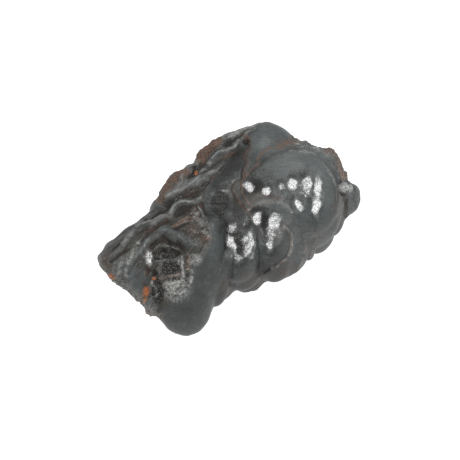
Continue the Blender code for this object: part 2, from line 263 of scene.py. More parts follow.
# %% [markdown]
# ## A box of cells drawn onto the lump
#
# The skin is six sheets of cells, the sides of a box, each a grid in two parameters. Rays that start on the
# stone's spine carry their crossings onto the field. That is done on a coarse grid, which is evened out,
# and then each coarse cell is divided into four by four and its new points are let down onto the field
# again. A voxel remesh would lose the creases, and a sphere's poles would bunch the cells up.

# %% The grid of a box
COARSE_CELLS = (49, 27, 23)


def box_grid(cells):
    """Whole-number lattice points on the surface of a box, and its quads, facing out."""
    x, y, z = np.meshgrid(*(np.arange(n + 1) for n in cells), indexing="ij")
    outer = (x % cells[0] == 0) | (y % cells[1] == 0) | (z % cells[2] == 0)
    index = np.full(x.shape, -1)
    index[outer] = np.arange(outer.sum())
    quads = []
    for axis, end in itertools.product(range(3), (0, -1)):
        grid = np.take(index, end, axis=axis)
        ring = np.stack([grid[:-1, :-1], grid[1:, :-1], grid[1:, 1:], grid[:-1, 1:]], -1).reshape(-1, 4)
        quads.append(ring[:, ::-1] if (end == 0) != (axis == 1) else ring)
    return np.stack([x[outer], y[outer], z[outer]], -1), np.concatenate(quads)


coarse_lattice, coarse_quads = box_grid(COARSE_CELLS)
print(len(coarse_lattice), "coarse points and", len(coarse_quads), "quads")

# %% Steps onto the field
STEP_LIMIT = 0.5
SPINE_HALF, SPINE_HEIGHT = 23.0, 14.0
FAN = np.array([0.9, 1.0, 1.0])
FAR_OUT, CAREFUL, CLOSE, MARCHES = 60.0, 0.85, 0.02, 60
COARSE_ROUNDS = 3


def normals(field, points, step=0.15):
    """The field's upward slope as unit vectors, by differences over twice the step."""
    slope = np.stack([field(points + e) - field(points - e) for e in np.eye(3) * step], -1)
    return slope / (np.linalg.norm(slope, axis=-1, keepdims=True) + TINY)


def settle(field, points, rounds):
    """Moves points onto the surface: p - f(p) * normal, by at most STEP_LIMIT a round."""
    for _ in range(rounds):
        points = points - np.clip(field(points), -STEP_LIMIT, STEP_LIMIT)[:, None] * normals(field, points)
    return points


def wrap(field, lattice, cells):
    """Marches in from FAR_OUT by CAREFUL * f, on rays from the spine through tan(x * 45 degrees) * FAN."""
    lattice = 2 * lattice / np.array(cells) - 1
    spine = np.zeros(lattice.shape)
    spine[:, 0] = SPINE_HALF * lattice[:, 0]
    spine[:, 2] = SPINE_HEIGHT
    ray = np.tan(lattice * math.pi / 4) * FAN
    ray /= np.linalg.norm(ray, axis=-1, keepdims=True)
    reach = np.full(len(lattice), FAR_OUT)
    moving = np.arange(len(lattice))
    for _ in range(MARCHES):
        step = CAREFUL * field(spine[moving] + ray[moving] * reach[moving, None])
        reach[moving] -= step
        moving = moving[np.abs(step) > CLOSE]
    return spine + ray * reach[:, None]


coarse = settle(lobed, wrap(lobed, coarse_lattice, COARSE_CELLS), COARSE_ROUNDS)
print("the coarse points lie within %.3f mm of the surface" % np.abs(lobed(coarse)).max())

# %% Coarse points evened out
EVEN_ROUNDS = 6


def even_out(field, points, quads, rounds):
    """Slides points along the surface, half way to the mean of their neighbours in each round."""
    start, end = np.concatenate([quads[:, [k, (k + 1) % 4]] for k in range(4)]).T
    start, end = np.append(start, end), np.append(end, start)
    count = np.bincount(start)[:, None]
    for _ in range(rounds):
        mean = np.stack([np.bincount(start, points[end, k]) for k in range(3)], -1) / count
        outward = normals(field, points)
        move = (mean - points) / 2
        points = settle(field, points + move - (move * outward).sum(-1, keepdims=True) * outward, 1)
    return points


coarse = even_out(lobed, coarse, coarse_quads, EVEN_ROUNDS)
sides = np.linalg.norm(coarse[coarse_quads[:, 0]] - coarse[coarse_quads[:, 1]], axis=-1)
print("coarse cells are %.1f mm wide on average" % sides.mean())

# %% Fine points between them
FINER, QUICK_FINER = 4, 2
FINE_ROUNDS = 2
NORMAL_STEP = 0.5


def refine(lattice, points, cells, finer):
    """Fine points by straight blending between the coarse points at the corners of their cell."""
    grid = np.zeros((cells[0] + 1, cells[1] + 1, cells[2] + 1, 3))
    grid[tuple(lattice.T)] = points
    fine_lattice, fine_quads = box_grid(tuple(n * finer for n in cells))
    place = fine_lattice / finer
    low = np.minimum(np.floor(place).astype(int), np.array(cells) - 1)
    share = place - low
    fine = 0
    for corner in itertools.product((0, 1), repeat=3):
        weight = np.where(corner, share, 1 - share).prod(-1)
        fine = fine + weight[:, None] * grid[tuple((low + corner).T)]
    return fine, fine_quads


finer = FINER
smooth, quads = refine(coarse_lattice, coarse, COARSE_CELLS, finer)
smooth = settle(lobed, smooth, FINE_ROUNDS)
outward = normals(lobed, smooth, NORMAL_STEP)
print(len(smooth), "points,", 2 * len(quads), "triangles")

# %% [markdown]
# ## Noise
#
# Broken stone is irregular at every size. Value noise is random numbers at the corners of cubes, blended
# between them. Folded at zero it gives round swells with sharp dark gaps, or turned over, sharp crests. The
# distance to scattered points gives the cobbles of small kidneys. Blender's own textures could displace a
# mesh as well, but numpy's arrays can be mixed with distances to drawn lines, which the next steps need.

# %% Random numbers at the corners of cubes
TABLE = 32


def noise(points, cube, seed):
    """Sum over a cube's corners of the blended weight times a random number from -1 to 1."""
    table = np.random.default_rng(seed).uniform(-1, 1, (TABLE,) * 3)
    place = points / np.array(cube)
    cell = np.floor(place).astype(int)
    within = ramp(0, 1, place - cell)
    total = 0
    for corner in itertools.product((0, 1), repeat=3):
        weight = np.where(corner, within, 1 - within).prod(-1)
        total = total + weight * table[tuple(((cell + corner) % TABLE).T)]
    return total


print("noise on the stone reaches %.2f" % noise(smooth, 3.0, 1).max())

# %% Folded noise, ripples and cobbles
RIPPLE_SWAY, RIPPLE_LENGTH = 2.5, 1.5
COBBLE_MARGIN, COBBLE_FLOOR = 0.15, 0.98


def swells(points, cube, seed):
    """2 |noise| - 1: round tops with sharp gaps where the noise passes through zero."""
    return 2 * np.abs(noise(points, cube, seed)) - 1


def ripples(value, spacing, seed):
    """sin(2 pi value / spacing + RIPPLE_SWAY * noise): the noise makes their spacing wander."""
    return np.sin(2 * math.pi * value / spacing + RIPPLE_SWAY * noise(smooth, RIPPLE_LENGTH, seed))


def cobbles(points, cube, seed):
    """sqrt(1 - d * d) for the distance d, in cubes, to the nearest of points scattered one to a cube."""
    spread = (COBBLE_MARGIN, 1 - COBBLE_MARGIN)
    table = np.random.default_rng(seed).uniform(*spread, (TABLE, TABLE, TABLE, 3))
    place = points / cube
    cell = np.floor(place).astype(int)
    nearest = np.full(len(points), np.inf)
    for corner in itertools.product((-1, 0, 1), repeat=3):
        seeds = cell + corner
        away = seeds + table[tuple((seeds % TABLE).T)] - place
        nearest = np.minimum(nearest, (away * away).sum(-1))
    return np.sqrt(1 - np.minimum(nearest, COBBLE_FLOOR))


print("cobbles 7 mm wide stand up to %.2f of their size" % cobbles(smooth, 7.0, 27).max())

# %% [markdown]
# ## The broken side, and where the skin ends
#
# Above and left of the smooth skin the stone is broken. The border runs down the show side as a line, given
# by its s at several heights t, and noise makes it wander. The back and the underside are broken too, and
# so is a strip behind the big dome. What is drawn on the sheet counts only where the stone faces the show
# side.

# %% Wandering coordinates and what the show side sees
SWAY, SWAY_LENGTH = 0.25, 2.2
RAG, RAG_LENGTH = 0.50, 3.5
FRAY, FRAY_LENGTH = 0.15, 1.3
s, t = SHOW.sheet(smooth)
s = s + SWAY * noise(smooth, SWAY_LENGTH, 11)
t = t + SWAY * noise(smooth, SWAY_LENGTH, 12)
ragged = [
    v + RAG * noise(smooth, RAG_LENGTH, seed) + FRAY * noise(smooth, FRAY_LENGTH, seed + 2)
    for v, seed in ((s, 15), (t, 16))
]
cosine = outward @ SHOW.out
facing = ramp(-0.05, 0.3, cosine)
seen = ramp(-0.15, 0.10, cosine)
print("%.0f%% of the points are seen from the show side" % (100 * seen.mean()))

# %% The broken places
SKIN_EDGE_T = (
    32.0, 29.0, 26.0, 22.0, 18.4, 15.9, 12.5, 9.0, 6.4, 1.6, -2.5, -7.0, -12.0, -17.0, -22.0, -25.5,
)
SKIN_EDGE_S = (
    9.0, 5.0, 2.5, -0.5, -3.5, -6.4, -8.3, -8.6, -8.2, -6.4, -5.7, -8.0, -12.0, -12.8, -17.0, -22.0,
)
RIGHT_STRIP_S = (21.2, 23.0, 28.0, 33.0, 35.3, 37.2)
RIGHT_STRIP_T = (29.4, 28.0, 26.2, 24.1, 20.7, 16.5)
BELOW_STRIP = 99.0   # the strip's s below its last point, which is past the stone
EDGE_SOFTNESS_T, EDGE_SOFTNESS = (-2.0, -8.0), (0.7, 2.5)
BACK_STARTS, BACK_FULL, BACK_WANDER = 14.0, 17.0, 2.0
UNDER_STARTS, UNDER_FULL, UNDER_WANDER = 4.0, 1.5, 1.5


def falling(t, line_t, line_s, **ends):
    """The s of a line at each t, read between its points, whose t falls from one to the next."""
    return np.interp(-t, [-v for v in line_t], line_s, **ends)


def broken_mask(points, s, t):
    """1 left of the skin's edge, right of the strip's line, on the back and the underside, otherwise 0."""
    softness = falling(t, EDGE_SOFTNESS_T, EDGE_SOFTNESS)
    left = ramp(-1, 1, (falling(t, SKIN_EDGE_T, SKIN_EDGE_S) - s) / softness)
    strip = ramp(-0.4, 0.4, s - falling(t, RIGHT_STRIP_T, RIGHT_STRIP_S, right=BELOW_STRIP))
    back = ramp(BACK_STARTS, BACK_FULL, points[:, 1] + BACK_WANDER * noise(points, 5.0, 13))
    under = ramp(UNDER_STARTS, UNDER_FULL, points[:, 2] + UNDER_WANDER * noise(points, 4.0, 14))
    return np.max([left, strip, back, under], 0)


broken = broken_mask(smooth, s, t)
skin = 1 - broken
print("%.0f%% of the points are on the broken side" % (100 * broken.mean()))

# %% [markdown]
# ## Bumps, shells, crests and pits
#
# On the flank, small beads catch the light one by one, and thin shells end in curved rims. On the broken
# side, smooth crests flow along the stone like folds, with dark gaps between, and pits are sunk into the
# low end. All of them are heights along the normal, worked out from s and t for all points at once. They
# could be sculpted, but as tables of ovals and lines each one can be moved by changing a number.

# %% Ovals and bent lines on a sheet
def oval(s, t, at, half, lean=0.0):
    """Distance from `at` as a share of the oval with these half sizes: 1 on its rim."""
    c, w = cos_sin(lean)
    x, y = s - at[0], t - at[1]
    return np.hypot((x * c - y * w) / half[0], (x * w + y * c) / half[1])


def bend(line, parts=4):
    """A curve of cubics through the points, each cubic in `parts` pieces.

    Its slope at a point is half the step from the point before to the point after.
    """
    line = np.array(line)
    start, end = line[:-1], line[1:]
    before, after = np.vstack([line[:1], line[:-2]]), np.vstack([line[2:], line[-1:]])
    u = np.arange(parts)[:, None, None] / parts
    square = 2 * before - 5 * start + 4 * end - after
    cube = 3 * (start - end) + after - before
    curve = start + ((end - before) * u + square * u * u + cube * u * u * u) / 2
    return np.vstack([curve.transpose(1, 0, 2).reshape(-1, 2), line[-1:]])


print("a bend through 3 points has", len(bend(((0, 0), (1, 1), (2, 0)))), "points")

# %% Distance to a bent line
REACH = 12.0


def line_distance(s, t, line):
    """Distance to a bent line, positive to its left as one walks along it; infinite beyond REACH."""
    curve = bend(line)
    (low_s, low_t), (high_s, high_t) = curve.min(0) - REACH, curve.max(0) + REACH
    near = (s > low_s) & (s < high_s) & (t > low_t) & (t < high_t) & (seen > 0)
    here_s, here_t = s[near], t[near]
    nearest = np.full(len(here_s), np.inf)
    side = np.zeros(len(here_s))
    for (s0, t0), (s1, t1) in itertools.pairwise(curve):
        ds, dt = s1 - s0, t1 - t0
        share = np.clip(((here_s - s0) * ds + (here_t - t0) * dt) / (ds * ds + dt * dt), 0, 1)
        x, y = here_s - s0 - share * ds, here_t - t0 - share * dt
        away = np.hypot(x, y)
        closer = away < nearest
        nearest = np.where(closer, away, nearest)
        side = np.where(closer, np.sign(ds * y - dt * x), side)
    distance = np.full(s.shape, np.inf)
    distance[near] = nearest * side
    return distance


def strokes(s, t, lines):
    """The highest of strength * exp(-(d / width) ** 2), d being the distance to each line."""
    total = np.zeros(len(s))
    for strength, width, line in lines.values():
        total = np.maximum(total, strength * np.exp(-np.square(line_distance(s, t, line) / width)))
    return total


def spots(s, t, ovals):
    """The highest of strength * exp(-r ** 4): flat in each oval, with a soft rim."""
    total = np.zeros(len(s))
    for at_s, at_t, across, along, strength, lean in ovals.values():
        total = np.maximum(total, strength * np.exp(-oval(s, t, (at_s, at_t), (across, along), lean) ** 4))
    return total


print("%d points are less than 1 mm from the sheet's middle" % (np.hypot(s, t) < 1).sum())

# %% Beads, numbered along their upper row and then below it, and other low domes
DOMES = {   # s, t, half across, half along, height, lean
    "bead one": (6.2, 13.2, 2.9, 3.0, 0.40, 0),
    "bead two": (11.6, 12.6, 2.8, 2.8, 0.40, 0),
    "bead three": (16.4, 13.9, 2.2, 2.4, 0.30, 0),
    "bead four": (20.0, 14.6, 2.5, 3.2, 0.35, 0),
    "bead five": (24.4, 13.2, 2.8, 4.0, 0.35, 0),
    "bead six": (28.0, 11.0, 2.6, 7.0, 0.35, 0),
    "bead seven": (21.6, 8.0, 3.4, 4.4, 0.35, 0),
    "bead eight": (8.3, 3.4, 2.5, 4.0, 0.35, 12),
    "rimmed dome": (13.6, -5.4, 5.4, 6.4, 0.50, 0),
    "left knob": (-25.7, -9.0, 1.6, 3.2, 0.60, 0),
    "knob corner": (39.4, 12.4, 2.4, 2.4, 0.60, 0),
    "knob foot": (38.6, 7.0, 2.6, 2.2, 0.50, 0),
    "round spot": (-11.1, -9.6, 2.4, 2.4, 0.30, 0),
    "plate": (-17.6, -18.6, 4.6, 4.6, 0.40, 20),
    "low lump": (-24.0, -24.6, 1.8, 2.6, 0.90, 35),
}
FOOT = 0.75


def domes(s, t):
    """The highest of caps of a ball: height * (sqrt(1 - r r (1 - f f)) - f) / (1 - f), f being FOOT."""
    top = np.zeros(len(s))
    for at_s, at_t, across, along, height, lean in DOMES.values():
        r = np.minimum(oval(s, t, (at_s, at_t), (across, along), lean), 1)
        top = np.maximum(top, height * (np.sqrt(1 - r * r * (1 - FOOT * FOOT)) - FOOT) / (1 - FOOT))
    return top


print("the domes stand up to %.2f mm" % domes(s, t).max())

# %% Shells with curved rims
SHELLS = {   # height, half width of the step, how far it fades back, then its rim, the shell to its left
    "crust": (0.45, 0.6, 5.0, ((5.6, 28.4), (6.3, 26.6), (5.2, 24.3), (5.0, 22.6), (5.1, 20.7),
        (4.4, 18.9), (4.1, 17.1), (3.8, 15.9), (1.6, 15.0), (0.7, 13.0), (1.4, 10.6), (3.0, 8.5),
        (5.1, 6.4), (7.0, 3.8), (8.9, 0.6), (10.5, -3.2))),
    "crust inside": (0.3, 0.4, 2.0, ((3.6, 15.7), (3.4, 13.9), (3.5, 12.1), (4.3, 10.3), (5.6, 8.4),
        (6.5, 7.3))),
    "big dome": (0.35, 0.5, 6.0, ((33.8, 9.0), (33.4, 14.6), (32.7, 16.8), (30.8, 20.0), (27.6, 23.2),
        (23.2, 25.1), (19.1, 25.1), (15.3, 24.2), (12.0, 22.6), (9.8, 20.6), (7.6, 18.6))),
    "knob": (-0.6, 0.5, 2.5, ((35.1, 15.7), (36.0, 13.4), (36.5, 10.3), (36.7, 6.7), (36.9, 4.1))),
    "second dome": (0.6, 1.3, 5.0, ((20.4, 3.0), (19.8, 6.4), (17.8, 8.6), (14.9, 9.7), (11.5, 9.9),
        (8.3, 8.6), (6.4, 6.2))),
    "rimmed dome": (0.6, 0.4, 3.0, ((16.8, 0.6), (19.0, -2.2), (19.0, -5.4), (17.0, -9.6), (12.8, -12.3))),
    "crescent": (0.3, 0.3, 2.5, ((23.2, -3.2), (23.8, -6.4), (22.2, -10.2), (21.3, -12.1))),
    "low right": (0.3, 0.3, 2.5, ((27.3, 0.6), (27.0, -4.8), (25.4, -7.9))),
    "small rim": (0.25, 0.3, 3.0, ((24.8, 10.2), (23.2, 12.1), (21.6, 12.5), (19.7, 12.1), (18.7, 10.5))),
}
LONG_AWAY = 99.0   # mm: so far from a rim that its step has faded to nothing


def shells(s, t):
    """Sum of steps: height * exp(-d / fade) to the left of each rim, 0 to its right."""
    total = np.zeros(len(s))
    for height, width, fade, rim in SHELLS.values():
        d = line_distance(s, t, rim)
        total += height * ramp(-width, width, d) * np.exp(-np.clip(d, 0, LONG_AWAY) / fade)
    return total


print("the shells stand up to %.2f mm" % shells(s, t).max())

# %% Crests of the broken side
CRESTS = {   # height, half width, then s and t along the crest
    "first": (0.7, 0.9, ((5.1, 32.1), (0.3, 29.9), (-4.1, 27.3), (-7.8, 23.2), (-13.7, 19.4),
        (-14.9, 15.9))),
    "second": (0.9, 1.1, ((8.9, 32.7), (4.1, 29.5), (1.0, 26.4), (-3.5, 24.3), (-6.4, 21.3), (-9.2, 18.4))),
    "third": (1.2, 1.6, ((1.9, 22.2), (-2.9, 19.7), (-7.3, 17.5), (-12.4, 14.3), (-16.5, 12.7),
        (-20.3, 10.2))),
    "inner": (0.4, 0.6, ((-12.7, 12.1), (-17.5, 10.2), (-22.2, 7.0), (-26.4, 4.4))),
    "fourth": (1.1, 1.1, ((-4.8, 13.7), (-7.3, 11.4), (-11.0, 9.5), (-14.6, 8.9), (-16.8, 8.3),
        (-19.1, 5.7), (-21.3, 4.1), (-25.1, 2.2), (-28.6, 1.0), (-31.1, -1.3), (-33.7, -4.8))),
    "outline": (1.3, 2.0, ((-41.0, -7.5), (-38.8, -4.1), (-34.9, -0.1), (-30.8, 2.6), (-26.7, 5.1),
        (-23.0, 7.6))),
    "tip": (0.5, 0.8, ((-38.8, -8.9), (-35.6, -7.0), (-32.7, -4.4), (-30.8, -1.9))),
    "blue ridge": (1.1, 1.5, ((-28.3, -7.6), (-27.0, -4.1), (-24.1, -1.3), (-21.3, 0.0), (-19.1, -0.6),
        (-15.6, -2.5), (-11.1, -5.1))),
    "left wall": (0.9, 1.3, ((-28.9, -7.0), (-30.2, -10.2), (-31.1, -14.0), (-30.5, -18.4),
        (-28.9, -21.6))),
    "end rib": (0.4, 0.5, ((-32.1, -10.2), (-32.7, -16.8), (-31.4, -20.0))),
    "second rib": (0.3, 0.5, ((-34.6, -10.8), (-35.3, -15.9))),
    "pit bridge": (0.3, 0.8, ((-24.5, -9.8), (-20.0, -9.7), (-15.2, -8.9))),
    "pit ledge": (0.8, 0.6, ((-22.2, -15.1), (-19.1, -14.8), (-15.6, -14.3))),
    "pit wall": (0.6, 0.6, ((-15.2, -8.9), (-14.6, -12.1), (-14.6, -14.9))),
    "low lump": (1.6, 1.5, ((-25.3, -23.2), (-23.6, -25.6))),
    "rust flake": (1.1, 1.2, ((-9.2, 23.6), (-6.3, 26.4), (-4.0, 28.0))),
    "outer strip": (1.0, 1.2, ((-21.8, 12.0), (-18.6, 16.0), (-15.8, 18.4))),
    "thin one": (0.4, 0.4, ((-11.8, 3.2), (-14.6, 2.7), (-16.8, 1.6), (-18.4, 0.6))),
    "thin two": (0.35, 0.4, ((-11.4, 4.4), (-14.3, 3.5), (-16.5, 2.4))),
    "crust line": (0.5, 0.5, ((-9.8, 7.3), (-7.9, 3.5), (-5.7, -0.6), (-5.1, -2.9))),
    "patch rim": (0.4, 0.5, ((-11.8, -13.3), (-12.7, -16.5), (-14.3, -18.1), (-16.5, -20.0))),
    "right strip": (0.6, 0.6, ((22.0, 28.2), (27.2, 26.3), (32.5, 24.4), (35.2, 20.8), (37.3, 16.5))),
}
uneven = 0.8 + 0.5 * noise(smooth, 3.0, 17)
ridge = broken * uneven * strokes(*ragged, CRESTS)
raised = facing * (domes(s, t) + skin * shells(s, t)) + seen * ridge
print("highest crest %.1f mm" % raised.max())

# %% Gaps and hollows
GAPS = {   # depth, half width, then s and t along the gap
    "under first": (0.8, 0.7, ((3.8, 30.2), (-0.6, 27.8), (-4.4, 25.1), (-7.9, 21.9), (-10.8, 19.7))),
    "flake notch": (0.9, 0.8, ((-13.6, 22.0), (-11.0, 20.0))),
    "under third": (0.8, 0.6, ((-7.0, 14.9), (-12.1, 12.1), (-16.5, 10.5), (-20.3, 7.9))),
    "under inner": (0.5, 0.5, ((-16.5, 8.9), (-20.6, 6.4), (-24.8, 3.8))),
    "beside blue ridge": (0.9, 0.7, ((-20.3, 2.5), (-24.5, 0.6), (-27.0, -1.6), (-28.9, -4.8))),
    "tip gap": (0.6, 0.6, ((-26.7, 2.5), (-30.2, -0.6), (-33.0, -5.7), (-35.6, -8.3), (-38.1, -10.2))),
    "rib gap": (0.4, 0.5, ((-33.7, -10.2), (-34.3, -17.2))),
    "under blue ridge": (0.7, 0.8, ((-25.4, -5.7), (-23.2, -3.2), (-19.7, -3.2), (-15.9, -5.4))),
    "beside wall": (0.7, 0.8, ((-26.7, -12.1), (-27.6, -15.9), (-26.7, -19.7))),
    "above patch": (0.8, 0.6, ((-22.9, -15.6), (-19.1, -15.7), (-15.6, -15.4), (-13.0, -14.3))),
    "right strip": (0.6, 0.5, ((21.8, 27.3), (26.8, 25.2), (32.0, 23.0), (34.3, 19.6), (36.3, 15.5))),
}
HOLLOWS = {   # s, t, half across, half along, depth, lean
    "upper pit": (-21.8, -7.3, 2.7, 1.9, 1.7, -15),
    "upper pit right": (-18.3, -6.6, 2.3, 1.6, 1.4, 10),
    "lower pit": (-18.7, -11.9, 3.2, 2.5, 1.1, 0),
    "dark plate": (-24.5, -13.0, 1.4, 1.3, 0.6, 0),
    "pocket": (-9.8, 18.7, 1.3, 3.6, 1.4, 62),
    "drusy hollow": (-3.4, 7.0, 2.8, 4.6, 0.4, 5),
    "torn patch": (-23.3, -19.5, 1.7, 4.3, 1.3, 0),
    "lens": (-15.2, 6.4, 1.8, 4.0, 0.3, 62),
    "crown notch": (5.1, 28.0, 1.2, 1.0, 0.8, 0),
    "pitted patch": (2.9, -4.2, 1.1, 3.6, 0.4, -10),
}
pits = facing * np.maximum(spots(*ragged, HOLLOWS), broken * uneven * strokes(*ragged, GAPS))
print("deepest pit %.1f mm" % pits.max())

# %% [markdown]
# ## Flat places on the bumps
#
# The tops of the lobes are a little flattened, and a flat place sends the light overhead to the eye all at
# once, where a round one would show a small dot. Each facet is a weight that fades out of an oval, and a
# plane through the middle of what it covers. The plane faces as the shoulder's sheet does, and bulges a
# little.

# %% Facets
FACETS = {   # s, t, half across, half along, bulge, lean
    "bead one": (6.2, 13.3, 2.4, 2.5, 0.15, 0),
    "bead two": (11.5, 12.6, 2.5, 2.3, 0.15, 0),
    "bead three": (16.4, 13.9, 2.0, 2.0, 0.15, 0),
    "bead four": (20.0, 14.7, 2.2, 2.5, 0.15, 0),
    "bead five": (24.6, 13.7, 2.6, 3.5, 0.15, 0),
    "bead six": (27.7, 10.8, 2.0, 6.6, 0.20, 5),
    "bead seven": (21.3, 8.8, 2.0, 2.8, 0.15, -10),
    "bead eight": (8.4, 3.6, 2.2, 3.2, 0.15, -12),
    "bead nine": (13.5, -0.6, 2.9, 7.0, 0.35, 9),
    "v": (2.5, -3.2, 6.6, 9.6, 0.45, -6),
    "left knob": (-25.7, -9.0, 1.4, 2.9, 0.10, 0),
    "knob": (36.5, 13.6, 1.6, 2.2, 0.10, 0),
}
DEEPEST_CUT = 2.0
FLATTEST = 0.3   # the least cosine that a height is divided by


def facet(s, t, at_s, at_t, across, along, bulge, lean):
    """Weight exp(-r ** 3) and height (c - p) . f / n . f - bulge * r * r of a facet that faces f."""
    r = np.minimum(oval(s, t, (at_s, at_t), (across, along), lean), 2)
    weight = facing * np.exp(-r ** 3)
    centre = (weight[:, None] * smooth).sum(0) / weight.sum()
    rise = np.maximum(outward @ SHOULDER.out, FLATTEST)
    return weight, (centre - smooth) @ SHOULDER.out / rise - bulge * r * r


def flatten(height):
    """Blends each facet into the heights: h + weight * (flat - h), with the change capped."""
    for row in FACETS.values():
        weight, flat = facet(s, t, *row)
        height = height + weight * np.clip(flat - height, -DEEPEST_CUT, DEEPEST_CUT)
    return height


formed = flatten(raised) - pits
print("formed heights from %.1f to %.1f mm" % (formed.min(), formed.max()))

# %% [markdown]
# ## Folds, fibres and crumbs
#
# Between the named crests the broken side has smaller folds that run the same way, up to the right on the
# show side, so the noise is stretched along that direction. Only some places crumble: the pits, the fibrous
# zone and the rusty flakes along the outline. On the sides that the sheet doesn't show, small kidneys cover
# the skin. Scattered pebbles could roughen the stone too, but they wouldn't follow its grain.

# %% Where the stone crumbles
CRUMBLY_SPOTS = {   # s, t, half across, half along, strength, lean
    "upper pit": (-20.5, -7.0, 4.4, 2.6, 1.0, 0),
    "lower pit": (-18.4, -12.0, 4.4, 3.4, 0.9, 0),
    "torn patch": (-23.2, -19.5, 2.2, 4.8, 1.0, 0),
    "pocket": (-9.8, 18.7, 1.6, 4.2, 0.8, 62),
    "fibrous zone": (-11.0, -0.8, 4.6, 4.6, 0.6, 0),
    "drusy hollow": (-3.4, 7.0, 2.4, 4.2, 0.5, 5),
    "pitted patch": (2.9, -4.2, 1.3, 3.8, 0.8, -10),
    "low end": (-39.0, -10.5, 2.6, 3.4, 0.6, 0),
    "speckled patch": (-17.2, -18.6, 4.4, 4.4, 0.5, 20),
    "knob": (39.5, 9.5, 2.4, 4.4, 0.5, -10),
}
CRUMBLY_LINES = {   # strength, half width, then s and t along the line
    "rust flake": (1.0, 1.8, ((-9.5, 22.9), (-7.0, 25.6), (-4.1, 28.0))),
    "outer strip": (1.0, 1.8, ((-22.2, 9.5), (-18.7, 15.2), (-14.6, 18.4))),
    "right strip": (1.5, 1.8, ((21.0, 28.8), (25.4, 26.8), (31.5, 25.0), (34.0, 21.5), (36.5, 17.5))),
    "low rim": (1.6, 1.4, ((-38.1, -15.2), (-31.0, -19.7), (-26.5, -23.5), (-22.5, -27.0))),
}
crumbly = seen * np.maximum(spots(*ragged, CRUMBLY_SPOTS), strokes(*ragged, CRUMBLY_LINES))
crumbly = np.maximum(crumbly, broken * (1 - seen) * 0.5)
print("%.0f%% of the points crumble" % (100 * (crumbly > 0.3).mean()))

# %% Grain along the streaks
STREAK_LEAN = 50.0
STREAK = SHOW.across * cos_sin(STREAK_LEAN)[0] + SHOW.up * cos_sin(STREAK_LEAN)[1]
streaked = smooth @ np.array([STREAK, np.cross(SHOW.out, STREAK), SHOW.out]).T
folds = 0.30 * swells(streaked, (10.0, 2.8, 4.0), 21) + 0.07 * swells(streaked, (4.5, 1.2, 1.8), 22)
fibres = -swells(streaked, (3.0, 0.5, 0.8), 23)
crumbs = 0.9 * noise(smooth, 2.2, 30) + noise(smooth, 1.0, 24) + 0.6 * noise(smooth, 0.55, 25)
lumps = noise(smooth, (9.0, 5.0, 5.0), 26)
calm = 1 - 0.6 * np.clip(ridge, 0, 1)
grain = broken * calm * (0.25 * lumps + folds + 0.03 * fibres) + crumbly * (0.32 * crumbs + 0.08 * fibres)
print("grain from %.1f to %.1f mm" % (grain.min(), grain.max()))

# %% Small kidneys of the unseen sides, and the hairs of the drusy hollow
HAIRY = {"drusy hollow": (-3.4, 7.0, 2.4, 4.0, 1.0, 5)}   # s, t, half across, half along, strength, lean
KIDNEY_SIZE, KIDNEY_HEIGHT, KIDNEY_FOOT = 7.0, 0.9, 0.85
HAIR_SPACING, HAIR_HEIGHT = 0.9, 0.12
unseen = ramp(0.45, 0.05, cosine)
kidneys = unseen * skin * KIDNEY_HEIGHT * (cobbles(smooth, KIDNEY_SIZE, 27) - KIDNEY_FOOT)
wavy = skin * 0.08 * noise(smooth, 3.0, 28)
hairs = seen * spots(s, t, HAIRY) * ripples(t + 0.35 * s, HAIR_SPACING, 29)
height = formed + grain + kidneys + wavy + HAIR_HEIGHT * hairs
print("relief from %.1f to %.1f mm" % (height.min(), height.max()))

# %% [markdown]
# ## The finished skin
#
# The heights are added along the normals, and what would reach below the table is pressed flat, as the
# stone is where it rests. The layout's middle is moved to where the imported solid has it. The mesh is
# already fine enough, so no modifier is needed, and round shading hides the cells.

# %% Make the stone
SOLID_MIDDLE = np.array([2.43, 0.68, 0.0])


def make_stone(points, quads):
    """A mesh of the points, in metres, with round shading."""
    mesh = bpy.data.meshes.new("hematite_skin")
    mesh.from_pydata(((points - SOLID_MIDDLE) * MM).tolist(), [], quads.tolist())
    mesh.shade_smooth()
    stone = bpy.data.objects.new("hematite_skin", mesh)
    bpy.context.scene.collection.objects.link(stone)
    return stone


points = smooth + height[:, None] * outward
points[:, 2] = np.maximum(points[:, 2], 0.0)
stone = make_stone(points, quads)
print("middle of the skin's box:", ((points.min(0) + points.max(0)) / 2 - SOLID_MIDDLE).round(2))

# %% [markdown]
# ## Valleys and crests
#
# Rust collects in valleys, and valleys are darkened with painted shade as well; crests are rubbed paler.
# How far a point lies below the mean of its surroundings says which it is. The mean of the neighbours, taken
# again and again, is that surrounding.
# Blender's own pointiness is read only by a render, so this measure is taken here and kept on the mesh.

# %% How deep each point lies below its surroundings
def surroundings(points, quads, rounds):
    """Every point's mean neighbour, `rounds` times over."""
    start, end = np.concatenate([quads[:, [k, (k + 1) % 4]] for k in range(4)]).T
    count = np.bincount(start)[:, None]
    for _ in range(rounds):
        points = np.stack([np.bincount(start, points[end, k]) for k in range(3)], -1) / count
    return points


NEAR_ROUNDS, WIDE_ROUNDS = 4 * finer, 24 * finer
near_depth = ((surroundings(points, quads, NEAR_ROUNDS) - points) * outward).sum(-1)
wide_depth = ((surroundings(points, quads, WIDE_ROUNDS) - points) * outward).sum(-1)
valley = ramp(0.02, 0.14, near_depth + 0.25 * wide_depth)
crest = ramp(0.00, -0.14, near_depth + 0.1)
print("near depth %.2f to %.2f mm" % (near_depth.min(), near_depth.max()))
print("wide depth %.2f to %.2f mm" % (wide_depth.min(), wide_depth.max()))

# %% [markdown]
# ## Where the rust is
#
# Rust sits in the low places of the broken side, along some creases and rims of the skin, and in a few
# bright orange grains. Its lines and spots are drawn on the show side's sheet. On the sides that the sheet
# doesn't show, it follows a wide, stretched noise. Each mask from here on is a number at every point, kept
# on the mesh for the material to read. An image could hold them too, but it would need a map of the whole
# stone.

